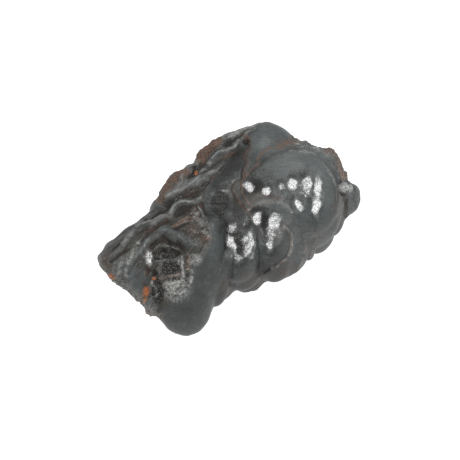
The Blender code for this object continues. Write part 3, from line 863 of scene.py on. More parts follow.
# %% Rust
RUSTY_LINES = {   # strength, half width, s and t of the points
    "crown crease": (0.85, 0.6, ((20.6, 28.0), (18.7, 27.3), (16.1, 26.4), (12.9, 25.6), (11.3, 25.0),
        (9.9, 23.9), (8.9, 22.2), (8.8, 20.5), (7.4, 19.4), (6.0, 18.0), (5.0, 17.2))),
    "crown stain": (0.8, 1.6, ((21.0, 28.4), (18.5, 27.8), (16.0, 26.9))),
    "outer rim": (1.0, 0.9, ((31.0, 25.0), (33.4, 23.8), (35.0, 20.5), (36.8, 17.0))),
    "crust rim": (0.6, 0.55, ((6.0, 29.3), (5.6, 28.4), (6.4, 26.6), (5.2, 24.3), (5.0, 22.6),
        (5.1, 20.7), (4.4, 18.9), (4.1, 17.1), (3.6, 15.7), (3.4, 13.9), (3.5, 12.1), (4.3, 10.3),
        (5.6, 8.4), (6.5, 7.3))),
    "crust rim two": (0.45, 0.45, ((7.0, 25.0), (6.2, 22.5), (6.1, 20.0), (5.0, 17.5), (4.6, 15.6))),
    "crust rim low": (0.5, 0.6, ((3.6, 15.8), (1.6, 15.0), (0.7, 13.0), (1.4, 10.6), (3.0, 8.5),
        (5.1, 6.4), (7.0, 3.8), (8.9, 0.6))),
    "dome crease": (0.5, 0.8, ((5.6, 8.4), (7.9, 9.4), (10.5, 10.4), (13.5, 10.6), (16.0, 10.4))),
    "notch": (0.8, 0.8, ((4.4, 29.5), (6.0, 28.6))),
    "thin one": (0.9, 0.35, ((-11.8, 3.2), (-14.6, 2.7), (-16.8, 1.6), (-18.4, 0.6))),
    "thin two": (0.7, 0.35, ((-11.4, 4.4), (-14.3, 3.5), (-16.5, 2.4))),
    "brown ledge": (1.0, 0.5, ((-22.2, -15.1), (-19.1, -14.8), (-15.6, -14.3))),
    "pit side": (0.8, 0.6, ((-13.2, -8.5), (-12.9, -12.4))),
    "rust flake": (1.8, 1.7, ((-9.5, 22.9), (-7.0, 25.6), (-4.1, 28.3))),
    "outer strip": (1.0, 1.8, ((-22.2, 9.5), (-18.7, 15.2), (-14.6, 18.4))),
    "fibrous zone": (0.55, 2.2, ((-12.0, 0.5), (-9.5, -1.5), (-8.0, -2.8))),
    "skin border": (0.5, 0.4, ((-2.5, 18.7), (-5.7, 15.9), (-7.8, 12.4), (-8.7, 9.5))),
    "low end": (0.4, 2.0, ((-40.0, -8.0), (-38.5, -12.0), (-36.0, -15.0))),
    "low rim": (0.6, 1.0, ((-34.0, -18.5), (-26.5, -23.5), (-22.5, -27.0))),
}
WARM_SPOTS = {   # s, t, half across, half along, strength, lean
    "low third": (7.0, -16.0, 6.0, 4.5, 0.30, 0),
    "low fourth": (17.0, -12.5, 7.0, 4.0, 0.30, 0),
    "lower right": (28.0, -5.0, 8.0, 6.0, 0.25, 0),
    "right": (35.0, 6.0, 3.5, 8.0, 0.30, 0),
    "under the domes": (8.5, 9.6, 8.0, 3.0, 0.35, 0),
    "below the domes": (18.0, -1.0, 8.0, 4.0, 0.25, 0),
    "lip": (1.5, 12.0, 2.5, 4.0, 0.30, 0),
    "beside nose": (-1.5, -20.0, 3.0, 6.0, 0.30, 0),
}
speck = 0.6 * noise(smooth, 0.9, 32) + 0.4 * noise(smooth, 0.45, 33)
patches = ramp(-0.1, 0.6, noise(streaked, (8.0, 3.0, 4.0), 31))
rust = seen * strokes(*ragged, RUSTY_LINES) * (0.75 + 0.8 * speck)
rust = np.maximum(rust, broken * valley * (0.15 + 0.25 * patches))
rust = np.maximum(rust, skin * np.maximum(0.06 * valley, spots(*ragged, WARM_SPOTS) * (0.8 + 0.6 * speck)))
rust = rust * (1 - 0.7 * ramp(0.3, 1.0, pits))
rust = np.clip(np.maximum(rust, (1 - seen) * broken * patches * (0.35 + 0.5 * speck)), 0, 1)
print("rust covers %.0f%%" % (100 * rust.mean()))

# %% Orange grains
ORANGE_SPOTS = {   # s, t, half across, half along, strength, lean
    "large": (-26.7, -19.5, 1.1, 1.8, 1, 10),
    "large low": (-26.8, -22.2, 0.6, 0.9, 0.8, 0),
    "pit edge": (-24.3, -15.0, 0.7, 0.5, 1, 0),
    "tip": (-38.2, -14.8, 0.6, 0.8, 1, 0),
    "tip two": (-37.1, -15.6, 0.4, 0.6, 1, 0),
    "pocket": (-10.3, 18.7, 0.45, 0.45, 1, 0),
}
orange = seen * spots(*ragged, ORANGE_SPOTS) * ramp(-0.6, -0.2, speck)
print("orange grains cover %.1f%%" % (100 * orange.mean()))

# %% [markdown]
# ## Pale crystals, rubbed edges and painted highlights
#
# Tiny crystals line the pits, and the edges of ribs and crests are rubbed pale. The rims of the shells, the
# crown's upper edge, the strip behind the big dome with its glints, the speckled and round patches of the low
# end and the knobs get painted highlights. Crystals could be modelled one by one, but these are smaller than
# the mesh's cells, so all of these are lines and spots again, broken up by the same fine specks as the rust.

# %% Pale places and painted highlights
PALE_AND_HIGHLIGHT_LINES = {   # strength, half width, s and t of the points
    "pit wall": (0.9, 0.45, ((-15.2, -9.4), (-14.9, -12.1), (-14.6, -14.6))),
    "patch rim": (0.9, 0.45, ((-11.8, -13.3), (-12.7, -16.5), (-14.3, -18.1), (-16.5, -20.0))),
    "crystal streak": (0.8, 0.8, ((-29.2, -4.1), (-30.8, -7.9), (-32.0, -10.5))),
    "end ribs": (0.50, 1.0, ((-32.1, -8.6), (-32.9, -14.8))),
    "end rib two": (0.45, 0.8, ((-34.6, -9.0), (-35.3, -14.9))),
    "end rib three": (0.30, 0.6, ((-36.5, -10.0), (-37.0, -13.5))),
    "torn streak": (0.7, 0.35, ((-25.0, -16.0), (-24.3, -18.5), (-24.0, -21.5))),
    "fibrous crust": (0.55, 1.1, ((-11.0, 6.0), (-9.5, 2.5), (-7.0, -1.5))),
    "low rim": (0.35, 1.2, ((-36.0, -16.5), (-31.0, -19.7), (-26.5, -23.5), (-23.5, -26.0))),
    "fibrous streak": (0.4, 0.6, ((-11.8, -0.6), (-8.5, -0.8))),
    "third crest": (0.12, 1.4, ((-8.0, 14.0), (-14.5, 13.4), (-17.8, 11.8))),
    # Painted highlights: the crown's edge, the rims of the shells, and the strip with its glints.
    "crown edge": (0.6, 0.6, ((0.6, 30.0), (4.8, 32.2), (8.9, 33.8))),
    "big dome rim": (0.45, 0.4, ((33.4, 14.6), (32.7, 16.8), (30.8, 20.0), (27.6, 23.2), (23.2, 25.1),
        (19.1, 25.1))),
    "second dome rim": (0.2, 0.9, ((18.6, 6.6), (16.5, 8.3), (13.7, 9.1), (10.5, 8.9), (8.3, 7.4))),
    "rimmed dome rim": (0.5, 0.35, ((16.8, 0.6), (19.0, -2.2), (19.0, -5.4), (17.0, -9.6), (12.8, -12.3))),
    "crescent rim": (0.3, 0.35, ((23.2, -3.2), (23.8, -6.4), (22.2, -10.2), (21.3, -12.1))),
    "low right rim": (0.3, 0.35, ((27.3, 0.6), (27.0, -4.8), (25.4, -7.9))),
    "lip": (0.6, 0.35, ((-2.4, 12.4), (-0.5, 12.5))),
    "right strip": (0.25, 1.2, ((22.0, 28.2), (27.0, 26.0), (32.0, 24.2), (34.6, 21.0), (36.8, 17.0))),
    "strip glint": (0.9, 0.7, ((21.5, 27.9), (23.2, 27.0))),
    "strip glint low": (0.9, 0.6, ((26.8, 26.2), (28.3, 25.6))),
}
# Painted highlights where light catches a speckled patch, a round spot and two knobs.
PAINTED_HIGHLIGHT_SPOTS = {   # s, t, half across, half along, strength, lean
    "speckled patch": (-17.2, -18.6, 4.2, 4.2, 0.8, 20),
    "round spot": (-11.1, -9.6, 2.1, 2.1, 0.55, 0),
    "left knob": (-25.7, -9.0, 1.1, 2.6, 0.6, 0),
    "knob": (36.8, 13.6, 1.2, 2.1, 0.8, -20),
}
# The pale mask: crystals, and painted highlights on rims, glints, patches and knobs.
pale = seen * np.maximum(spots(s, t, PAINTED_HIGHLIGHT_SPOTS), strokes(*ragged, PALE_AND_HIGHLIGHT_LINES)) * ramp(-0.55, 0.25, speck)
print("pale crystals cover %.1f%%" % (100 * pale.mean()))

# %% [markdown]
# ## Worn patches
#
# A hard, thin crust on the beads is worn to a gloss, and these patches are what shines on the stone. The
# facets turn the surface towards the light, and this mask says how worn the crust is. Its noise is mild,
# because the material cuts it off at a threshold with finer noise, which makes the patches dissolve into
# specks. Patches drawn with hard outlines would be simpler, but they would look stuck on. The bands are
# faint, so that only specks show between the patches.

# %% Worn patches and the bands between them
WORN_SPOTS = {   # s, t, half across, half along, strength, lean
    "bead one": (6.2, 13.3, 2.0, 2.2, 0.9, -30),
    "bead two": (11.6, 12.5, 1.6, 1.7, 0.8, 0),
    "bead three": (16.4, 13.9, 1.6, 1.6, 0.42, 0),
    "bead four": (19.8, 14.4, 1.7, 2.2, 1.0, 0),
    "bead five": (24.7, 13.6, 2.0, 3.8, 0.95, 0),
    "bead six": (28.0, 13.7, 1.4, 3.2, 1.0, 0),
    "bead six low": (27.4, 7.2, 1.3, 3.8, 1.0, 6),
    "bead seven": (22.0, 7.8, 0.9, 2.0, 0.8, -30),
    "bead eight": (8.4, 3.6, 1.6, 2.7, 1.0, -15),
    "bead nine": (14.0, 2.8, 2.1, 2.7, 0.9, 10),
    "bead nine middle": (13.0, -1.2, 1.7, 2.8, 0.6, 10),
    "rimmed": (12.6, -5.6, 1.4, 2.6, 0.7, 12),
    "v top": (0.1, 0.8, 2.4, 1.9, 0.66, 0),
    "v left": (0.7, -3.2, 1.0, 5.6, 0.80, -13),
    "v foot": (2.8, -9.6, 1.6, 1.9, 0.72, 0),
    "v right": (5.9, -4.2, 2.1, 4.6, 0.72, 6),
    "v right low": (5.5, -7.4, 1.7, 2.2, 0.70, 10),
    "left knob": (-25.7, -9.0, 1.1, 2.6, 0.7, 0),
    "knob": (36.4, 13.8, 1.1, 1.8, 0.45, -15),
}
WORN_BANDS = {   # s, t, half across, half along, strength, lean
    "dome band": (24.6, 12.8, 5.5, 3.2, 0.42, 0),
    "bead six band": (27.6, 10.4, 2.2, 5.0, 0.40, 0),
    "bead nine band": (13.2, 0.2, 2.6, 5.0, 0.35, 8),
}
MOST_WORN = 1.2
worn = facing * np.clip(spots(s, t, WORN_SPOTS | WORN_BANDS) + 0.3 * noise(smooth, 1.6, 34), 0, MOST_WORN)
print("worn patches cover %.1f%%" % (100 * (worn > 0.6).mean()))

# %% [markdown]
# ## Dark places and painted shade
#
# Gaps, pits, valleys and the broad creases of the skin are darkened, partly as dirt in rough places and
# partly as painted shade, since under a light as soft as this one they would turn out pale. The drusy hollow,
# the pits and the pitted patch are dark places of the stone itself. The pits and valleys are known from the
# shape. Spots and lines add the drusy hollow, the darker slab, painted shade in the creases beside the knob,
# and a ring of painted shade round each worn patch. The ridges and flutes of the broken side are smooth, so
# they are darkened less.

# %% Smooth places of the broken side
SLATE_SPOTS = {   # s, t, half across, half along, strength, lean
    "left wall": (-29.8, -16.5, 3.8, 6.0, 1.1, -12),
    "flutes": (-34.2, -12.6, 3.8, 4.4, 1.0, 0),
    "slab top": (-4.6, 24.4, 4.6, 4.6, 1.0, 20),
}
smoothed = seen * broken * np.maximum(np.clip(ridge, 0, 1), spots(*ragged, SLATE_SPOTS))
print("smooth broken places cover %.0f%%" % (100 * smoothed.mean()))

# %% Dark spots, painted shade and shade rings
# Dark parts of the stone: the drusy hollow, the slab, the knob, the pits, the torn, dark and pitted patches,
# the pocket and the fibres. Painted shade: beside the hollow, round the beads, above the v and under the dome
# band.
DARK_AND_SHADE_SPOTS = {   # s, t, half across, half along, strength, lean
    "drusy hollow": (-3.2, 9.0, 2.9, 3.6, 1.8, 5),
    "slab": (0.5, 20.5, 4.0, 8.0, 0.60, 32),
    "slab foot": (-6.2, 9.0, 2.6, 7.5, 0.50, 8),
    "beside the hollow": (2.4, 6.8, 3.4, 5.0, 0.65, -10),
    "slab middle": (-3.4, 13.6, 3.6, 3.6, 0.60, 0),
    "above bead one": (8.5, 17.2, 7.5, 3.0, 0.45, 10),
    "between beads one and two": (9.0, 14.0, 1.6, 2.8, 0.6, 0),
    "above bead eight": (9.3, 6.4, 3.0, 1.3, 0.55, 0),
    "left of bead nine": (10.9, 3.2, 1.3, 3.4, 0.6, 0),
    "knob": (39.8, 9.0, 1.0, 3.4, 0.4, -10),
    "pitted patch": (2.9, -4.0, 1.1, 4.0, 0.95, -10),
    "upper pit": (-20.3, -7.0, 3.8, 2.2, 0.7, 0),
    "torn patch": (-23.2, -19.2, 1.8, 4.6, 1.0, 0),
    "dark plate": (-24.0, -13.2, 1.6, 1.2, 0.7, 0),
    "pocket": (-9.8, 18.7, 1.3, 3.6, 0.8, 62),
    "fibres": (-8.2, -1.6, 2.6, 2.8, 0.70, 0),
    "above the v": (4.6, 1.6, 2.2, 1.4, 0.4, 0),
    "under the dome band": (15.8, 10.0, 4.8, 1.7, 0.45, -5),
    "above bead four": (21.5, 17.6, 4.5, 1.3, 0.35, 0),
}
# Painted shade in the knob's crease; the line behind the fourth crest is simply darker.
DARK_AND_SHADE_LINES = {   # strength, half width, s and t of the points
    "behind the fourth": (0.50, 0.9, ((-31.0, 0.4), (-27.0, 3.4), (-23.0, 6.4), (-19.5, 9.0))),
    "knob crease": (0.9, 0.9, ((35.1, 15.7), (36.0, 13.4), (36.5, 10.3), (36.7, 6.7), (36.9, 4.1))),
}
# A ring of painted shade round each worn patch, larger than the patch.
SHADE_RING_ACROSS, SHADE_RING_ALONG, SHADE_RING_STRENGTH = 1.8, 1.5, 0.45
shade_rings = {
    name: (at_s, at_t, SHADE_RING_ACROSS * across, SHADE_RING_ALONG * along, SHADE_RING_STRENGTH, lean)
    for name, (at_s, at_t, across, along, _, lean) in WORN_SPOTS.items()
}
dark = seen * np.maximum(spots(*ragged, DARK_AND_SHADE_SPOTS), strokes(s, t, DARK_AND_SHADE_LINES))
dark = dark + facing * skin * spots(s, t, shade_rings)
# Painted shade in the broad creases of the skin.
crease_shade = skin * ramp(0.05, 0.75, wide_depth) * 0.40
# Dark places and painted shade together: pits, valleys, dark spots, shade rings and creases.
dark_and_shade = np.clip(ramp(0.15, 0.9, pits) + 0.9 * broken * valley + dark + crease_shade, 0, 1)
dark_and_shade = dark_and_shade * (1 - 0.7 * pale) * (1 - 0.55 * np.clip(smoothed, 0, 1))
print("dark places cover %.0f%%" % (100 * dark_and_shade.mean()))

# %% [markdown]
# ## Painted light and fine lines
#
# Painted light makes the skin lighter where light falls on it most: on the crown, along the top of the big
# dome and on the lower right, where the table's light reaches, and leaves it darker between. Each rim of a
# shell has a pale tan edge, partly a painted highlight, with a painted shadow line under it, and some crests
# have a thin pale line, a painted glint. The distance to the nearest rim is kept, so that the material can
# draw its line sharper than the cells of the mesh are. All this could be painted on by hand, but ovals and
# lines with sizes in millimetres are easier to move.

# %% Painted light on the skin
# Each oval and line lightens the skin with painted light, where light falls on it most.
PAINTED_LIGHT_SPOTS = {   # s, t, half across, half along, strength, lean
    "big dome": (21.0, 9.0, 16.0, 15.0, 0.5, 0),
    "dome top": (24.5, 23.0, 8.5, 3.4, 1.0, -12),
    "under the crown": (21.5, 24.0, 6.0, 1.8, 1.4, -8),
    "crown": (13.0, 29.0, 8.0, 6.0, 1.0, 20),
    "lower right": (27.0, -6.0, 13.0, 8.0, 0.9, 35),
    "knob": (37.5, 10.0, 4.0, 6.0, 0.9, 0),
    "dome right": (31.2, 12.5, 2.4, 8.0, 1.0, 0),
    "third lobe": (9.0, -6.5, 3.0, 3.5, 0.9, 0),
    "beside the strip": (29.4, 21.0, 7.0, 3.6, 1.3, -50),
    "left of the v": (-5.0, -4.0, 4.0, 7.0, 0.5, 0),
}
PAINTED_LIGHT_LINES = {   # strength, half width, s and t of the points
    "second dome": (0.6, 0.8, ((8.0, 8.6), (10.5, 9.4), (13.7, 9.2), (16.5, 8.0), (18.4, 6.2))),
}
painted_light = seen * np.maximum(spots(s, t, PAINTED_LIGHT_SPOTS), strokes(s, t, PAINTED_LIGHT_LINES))
print("lighter skin covers %.0f%%" % (100 * painted_light.mean()))

# %% Lines along rims and crests
RIM_STRENGTH = {
    "crust": 1.0, "crust inside": 0.9, "big dome": 0.45, "second dome": 0.2,
    "rimmed dome": 0.9, "crescent": 0.6, "low right": 0.6, "small rim": 0.3,
}
LINED = (
    "first", "second", "third", "fourth", "thin one",
    "thin two", "crust line", "pit ledge", "pit wall", "patch rim",
)
RIM_REACH, CREST_REACH = 1.5, 1.2


def nearest_rim(s, t):
    """The signed distance, in mm, to the nearest of the rims, at most REACH."""
    nearest = np.full(len(s), REACH)
    for *_, rim in SHELLS.values():
        d = line_distance(s, t, rim)
        nearest = np.where(np.abs(d) < np.abs(nearest), d, nearest)
    return nearest


rim_lines = {name: (strength, RIM_REACH, SHELLS[name][3]) for name, strength in RIM_STRENGTH.items()}
crest_lines = {name: (1.0, CREST_REACH, CRESTS[name][2]) for name in LINED}
# The rims carry a tan line, partly a painted highlight, and a painted shadow under it; the lined crests carry
# painted glints.
near_rim = skin * strokes(s, t, rim_lines)
edge_line = seen * broken * strokes(*ragged, crest_lines)
hairy = np.minimum(seen * spots(s, t, {"drusy hollow": DARK_AND_SHADE_SPOTS["drusy hollow"]}), 1)
print("near a rim: %.1f%%, near a lined crest: %.1f%%" % (100 * near_rim.mean(), 100 * edge_line.mean()))

# %% Keep the masks on the mesh
MASKS = {
    "broken": broken, "smoothed": smoothed, "rust": rust, "orange": orange, "dark_and_shade": dark_and_shade, "pale": pale,
    "worn": worn, "crest": crest, "crumbly": np.minimum(crumbly, 1), "painted_light": painted_light,
    "rim": nearest_rim(s, t), "near_rim": near_rim, "edge_line": edge_line, "hairy": hairy,
}
for name, values in MASKS.items():
    stone.data.attributes.new(name, "FLOAT", "POINT").data.foreach_set("value", values.astype(np.float32))
print(len(MASKS), "masks kept on the mesh:", ", ".join(MASKS))

# %% [markdown]
# ## Sums with sockets
#
# A material is a graph of nodes, and its arithmetic is easier to read as expressions. Below, Graph adds
# nodes to a material and Number wraps a socket that carries a number, so that mask * 0.4 + 0.1 adds the two
# Math nodes by itself. Colours go through Mix nodes, because a Math node would turn them grey. The same
# graph could be drawn by hand in the editor, but a written one can be read, line by line, beside what it is
# meant to show.

# %% The node tree of a material
class Graph:
    """A material, its node tree and its shader."""

    def __init__(self, name):
        self.material = bpy.data.materials.new(name)
        self.material.use_nodes = True
        self.tree = self.material.node_tree
        self.shader = self.tree.nodes["Principled BSDF"]

    def node(self, kind, settings, values):
        """A node of this type: settings are set first, then each socket gets its value or its link."""
        made = self.tree.nodes.new(kind)
        for name, value in settings.items():
            setattr(made, name, value)
        for socket, value in values.items():
            self.feed(made.inputs[socket], value)
        return made

    def feed(self, socket, value):
        """Links a socket or a Number, or sets a plain value."""
        value = value.socket if isinstance(value, Number) else value
        if isinstance(value, bpy.types.NodeSocket):
            self.tree.links.new(value, socket)
        else:
            socket.default_value = value

    def mask(self, name):
        """A number kept on the mesh."""
        return Number(self, self.node("ShaderNodeAttribute", {"attribute_name": name}, {}).outputs["Fac"])

    def mix(self, share, first, second):
        """first * (1 - share) + second * share, on colours."""
        made = self.node("ShaderNodeMix", {"data_type": "RGBA"}, {0: share, 6: first, 7: second})
        return made.outputs[2]


hematite = Graph("hematite")
print("a new tree has", len(hematite.tree.nodes), "nodes")

# %% A socket that can be added and multiplied
class Number:
    """A socket with a number in it, for use in sums."""

    def __init__(self, graph, socket):
        self.graph, self.socket = graph, socket

    def math(self, operation, first, second=0.0):
        """One Math node."""
        made = self.graph.node("ShaderNodeMath", {"operation": operation}, {0: first, 1: second})
        return Number(self.graph, made.outputs[0])

    def __add__(self, other):
        return self.math("ADD", self, other)

    def __radd__(self, other):
        return self.math("ADD", other, self)

    def __sub__(self, other):
        return self.math("SUBTRACT", self, other)

    def __rsub__(self, other):
        return self.math("SUBTRACT", other, self)

    def __mul__(self, other):
        return self.math("MULTIPLY", self, other)

    def __rmul__(self, other):
        return self.math("MULTIPLY", other, self)

    def size(self):
        """The number without its sign."""
        return self.math("ABSOLUTE", self)

    def between(self, low, high):
        """0 below low, 1 above high and an S-shaped rise between."""
        values = {"Value": self, "From Min": low, "From Max": high}
        made = self.graph.node("ShaderNodeMapRange", {"interpolation_type": "SMOOTHSTEP"}, values)
        return Number(self.graph, made.outputs[0])


broken_part = hematite.mask("broken")
skin_part = 1 - broken_part
print("the skin's share is worked out by a node of type", skin_part.socket.node.type)

# %% [markdown]
# ## Hematite
#
# The skin is a satin, half metallic blue grey, and a hard glossy crust on its worn bumps gives small bright
# patches with a fine crackle in them. The broken side is the same mineral, darker in its gaps, partly by
# painted shade, and browned by rust. Both are one material, blended by the masks, because the real border is
# ragged too. Its textures read the object's own coordinates, because images would need a map of the whole
# stone.

# %% Textures on the stone
place = hematite.node("ShaderNodeTexCoord", {}, {}).outputs["Object"]


def texture(kind, scale, settings=None, **sockets):
    """A texture node on the stone's own coordinates, with `scale` features to the millimetre."""
    values = {"Vector": place, "Scale": scale / MM}
    values.update(sockets)
    return Number(hematite, hematite.node(kind, settings or {}, values).outputs[0])


clouds = texture("ShaderNodeTexNoise", 0.12, Detail=3.0)
mottle = texture("ShaderNodeTexNoise", 0.6, Detail=4.0, Roughness=0.6)
speckle = texture("ShaderNodeTexNoise", 1.8, Detail=2.0, Roughness=0.7)
dust = texture("ShaderNodeTexNoise", 3.5, Detail=2.0)
crackle = texture("ShaderNodeTexVoronoi", 1.7, {"feature": "F1"})
cracks = texture("ShaderNodeTexVoronoi", 1.1, {"feature": "DISTANCE_TO_EDGE"}).between(0.02, 0.10)
print(len(hematite.tree.nodes), "nodes with the round textures")

# %% Streaks
STRETCH = 0.16


def drawn_out(direction):
    """The object's coordinates, turned so that x runs along `direction` and then squeezed along x."""
    turn = Vector(direction.tolist()).to_track_quat("X", "Z").inverted().to_euler()
    aligned = hematite.node("ShaderNodeMapping", {}, {"Vector": place, "Rotation": turn}).outputs[0]
    return hematite.node("ShaderNodeMapping", {}, {"Vector": aligned, "Scale": (STRETCH, 1, 1)}).outputs[0]


grooves = texture("ShaderNodeTexNoise", 2.0, Vector=drawn_out(STREAK), Detail=2.0)
brush = texture("ShaderNodeTexNoise", 1.6, Vector=drawn_out(SHOW.across), Detail=3.0)
print("grooves run along", STREAK.round(2), "and brushed lines along", SHOW.across.round(2))

# %% Masks with ragged edges
RAGGED_EDGE = 0.9
RAGGED_END = 0.85


def ragged_mask(name, low):
    """The mask plus RAGGED_EDGE * (speckle - 1/2), cut off softly between `low` and RAGGED_END."""
    return (hematite.mask(name) + speckle * RAGGED_EDGE - RAGGED_EDGE / 2).between(low, RAGGED_END)


# The dark places and painted shade, with a ragged edge.
dark_and_shade_part = ragged_mask("dark_and_shade", 0.10)
rusty_part = ragged_mask("rust", 0.05)
orange_part = hematite.mask("orange")
pale_and_highlight_part = hematite.mask("pale")
worn_part = hematite.mask("worn")
crest_part = hematite.mask("crest")
crumbly_part = hematite.mask("crumbly")
painted_light_part = hematite.mask("painted_light")
hairy_part = hematite.mask("hairy")
smoothed_part = hematite.mask("smoothed")
rough_part = broken_part * (1 - smoothed_part * 0.7)
print(len(hematite.tree.nodes), "nodes with the masks")

# %% Thin lines on rims and crests
rim_distance = hematite.mask("rim")
near_rim_part = hematite.mask("near_rim")
off_rim = (rim_distance.size() + mottle * 0.3 - 0.15).between(0.10, 0.32)
below_rim = (rim_distance + 0.9).between(0.0, 0.7)
past_rim = (rim_distance + mottle * 0.3).between(0.0, 0.3)
# A tan line on each rim, partly a painted highlight of its lit edge, and a painted shadow below the rim.
rim_line = near_rim_part * (1 - off_rim)
rim_shade = near_rim_part * below_rim * (1 - past_rim)
# A thin painted glint along the lined crests.
wavering = hematite.mask("edge_line") + mottle * 0.10 + speckle * 0.06 - 0.08
crest_glint_line = wavering.between(0.90, 0.97) * mottle.between(0.35, 0.55)
print(len(hematite.tree.nodes), "nodes with the lines")

# %% [markdown]
# ## Colour
#
# The pigments are dark, since hematite takes up most of the light, and its brightness comes from gloss. The
# skin runs from a steel black to a blue grey, partly at random and partly as painted light, and the broken
# side from a dull to an ashy grey. Over these go thin layers: soot in grains, grooves and gaps, with painted
# shade in the gaps, the creases and under the rims; frost on crests and crystals, with painted highlights on
# rims, crest edges and knobs; tan on the rims, partly a painted highlight; and rust. A photograph could be
# laid on the stone instead, but it would bring its own light and shadows with it.

# %% Pigments
# The blue grey is mixed in by a random tone and by painted light. The sooty black also paints shade, the
# frost white also paints highlights, and the tan is the rims' brown edge with a painted highlight on it.
STEEL = (0.046, 0.049, 0.048, 1)
BLUE = (0.104, 0.115, 0.113, 1)
DULL = (0.054, 0.050, 0.042, 1)
ASH = (0.100, 0.097, 0.086, 1)
SLATE = (0.080, 0.090, 0.091, 1)
FROST_AND_HIGHLIGHT = (0.42, 0.42, 0.40, 1)
SOOT_AND_SHADE = (0.012, 0.011, 0.010, 1)
RUST = (0.088, 0.058, 0.043, 1)
BRICK = (0.185, 0.105, 0.076, 1)
TAN_AND_HIGHLIGHT = (0.23, 0.17, 0.13, 1)
ORANGE = (0.52, 0.17, 0.055, 1)
print("soot reflects %.0f%% and frost %.0f%% of the light" % (100 * SOOT_AND_SHADE[0], 100 * FROST_AND_HIGHLIGHT[0]))

# %% The ground colours of the skin and of the broken side
# The skin's tone: painted light, with random clouds, mottle and brushed streaks.
skin_tone_and_light = painted_light_part * 0.6 + clouds.between(0.35, 0.65) * 0.2 + mottle.between(0.40, 0.65) * 0.15
skin_tone_and_light = skin_tone_and_light + brush.between(0.42, 0.66) * (painted_light_part * 0.35)
skin_colour = hematite.mix(skin_tone_and_light, STEEL, BLUE)
ashy = (mottle.between(0.35, 0.7) * 0.5 + crest_part * 0.6).between(0.1, 0.9)
break_colour = hematite.mix(ashy, DULL, ASH)
break_colour = hematite.mix(smoothed_part * 0.75, break_colour, SLATE)
colour = hematite.mix(broken_part, skin_colour, break_colour)
print(len(hematite.tree.nodes), "nodes with the ground colours")

# %% The layers over them, each a pigment and its share
rust_colour = hematite.mix(dust.between(0.42, 0.6) * 0.6 + speckle.between(0.45, 0.6) * 0.4, RUST, BRICK)
crystals = crackle.between(0.20, 0.50) * speckle.between(0.30, 0.55)
LAYERS = {
    "dark grains": (SOOT_AND_SHADE, speckle.between(0.45, 0.7) * 0.3),
    "dust": (FROST_AND_HIGHLIGHT, dust.between(0.52, 0.75) * (broken_part * 0.08 + 0.04)),
    "dark grooves": (SOOT_AND_SHADE, rough_part * grooves.between(0.48, 0.60) * 0.7),
    "pale grooves": (FROST_AND_HIGHLIGHT, broken_part * (1 - grooves).between(0.52, 0.62) * crest_part * 0.05),
    # Painted shade, with the stone's own dark pits and hollows.
    "gaps, hollows and painted shade": (SOOT_AND_SHADE, dark_and_shade_part * 0.88),
    # Painted highlights along the crests.
    "painted glints on crests": (FROST_AND_HIGHLIGHT, crest_glint_line * 0.24),
    "hairs": (FROST_AND_HIGHLIGHT, hairy_part * brush.between(0.52, 0.60) * 0.06),
    "crumbs": (FROST_AND_HIGHLIGHT, crumbly_part * dust.between(0.55, 0.64) * 0.42),
    "painted shadow under the rims": (SOOT_AND_SHADE, rim_shade * 0.5),
    # The rims' tan line: their brown edge, partly a painted highlight.
    "rims": (TAN_AND_HIGHLIGHT, rim_line * (mottle.between(0.40, 0.62) * 0.6 + 0.1)),
    "rust": (rust_colour, rusty_part * (mottle.between(0.3, 0.6) * 0.5 + 0.5)),
    "dark in the rust": (SOOT_AND_SHADE, rusty_part * broken_part * (1 - speckle).between(0.52, 0.60) * 0.5),
    # Crystals, and painted highlights from the same pale mask.
    "crystals": (FROST_AND_HIGHLIGHT, pale_and_highlight_part * (crystals * 0.9 + 0.12)),
    "orange grains": (ORANGE, orange_part * (speckle.between(0.35, 0.6) * 0.5 + 0.45)),
}
for pigment, share in LAYERS.values():
    colour = hematite.mix(share, colour, pigment)
hematite.feed(hematite.shader.inputs["Base Color"], colour)
print(len(LAYERS), "layers of colour")

# %% [markdown]
# ## Gloss
#
# Under its gloss the skin is satin and half metallic, and the fracture less so. The worn crust is a clear
# coat of a high refractive index, as hematite's own is, so it mirrors the light overhead as a near white.
# The worn mask is cut off with strong, fine noise: full patches in the middle, specks at the edge and
# cracks within. The crust could be a material of its own, but a coat can thin out to nothing where it is
# worn away.

# %% Metal and roughness
SKIN_METAL, BREAK_METAL = 0.42, 0.2
ROUGHNESS, ROUGHER_RUST, ROUGHER_CRUMBS = 0.50, 0.2, 0.1
metal = skin_part * (SKIN_METAL - BREAK_METAL) + BREAK_METAL
metal = metal * (1 - rusty_part * 0.8) * (1 - orange_part) * (1 - pale_and_highlight_part)
roughness = speckle * 0.10 + (ROUGHNESS - 0.05) + rusty_part * ROUGHER_RUST + crumbly_part * ROUGHER_CRUMBS
hematite.feed(hematite.shader.inputs["Metallic"], metal)
hematite.feed(hematite.shader.inputs["Roughness"], roughness)
print("metal from", BREAK_METAL, "to", SKIN_METAL)

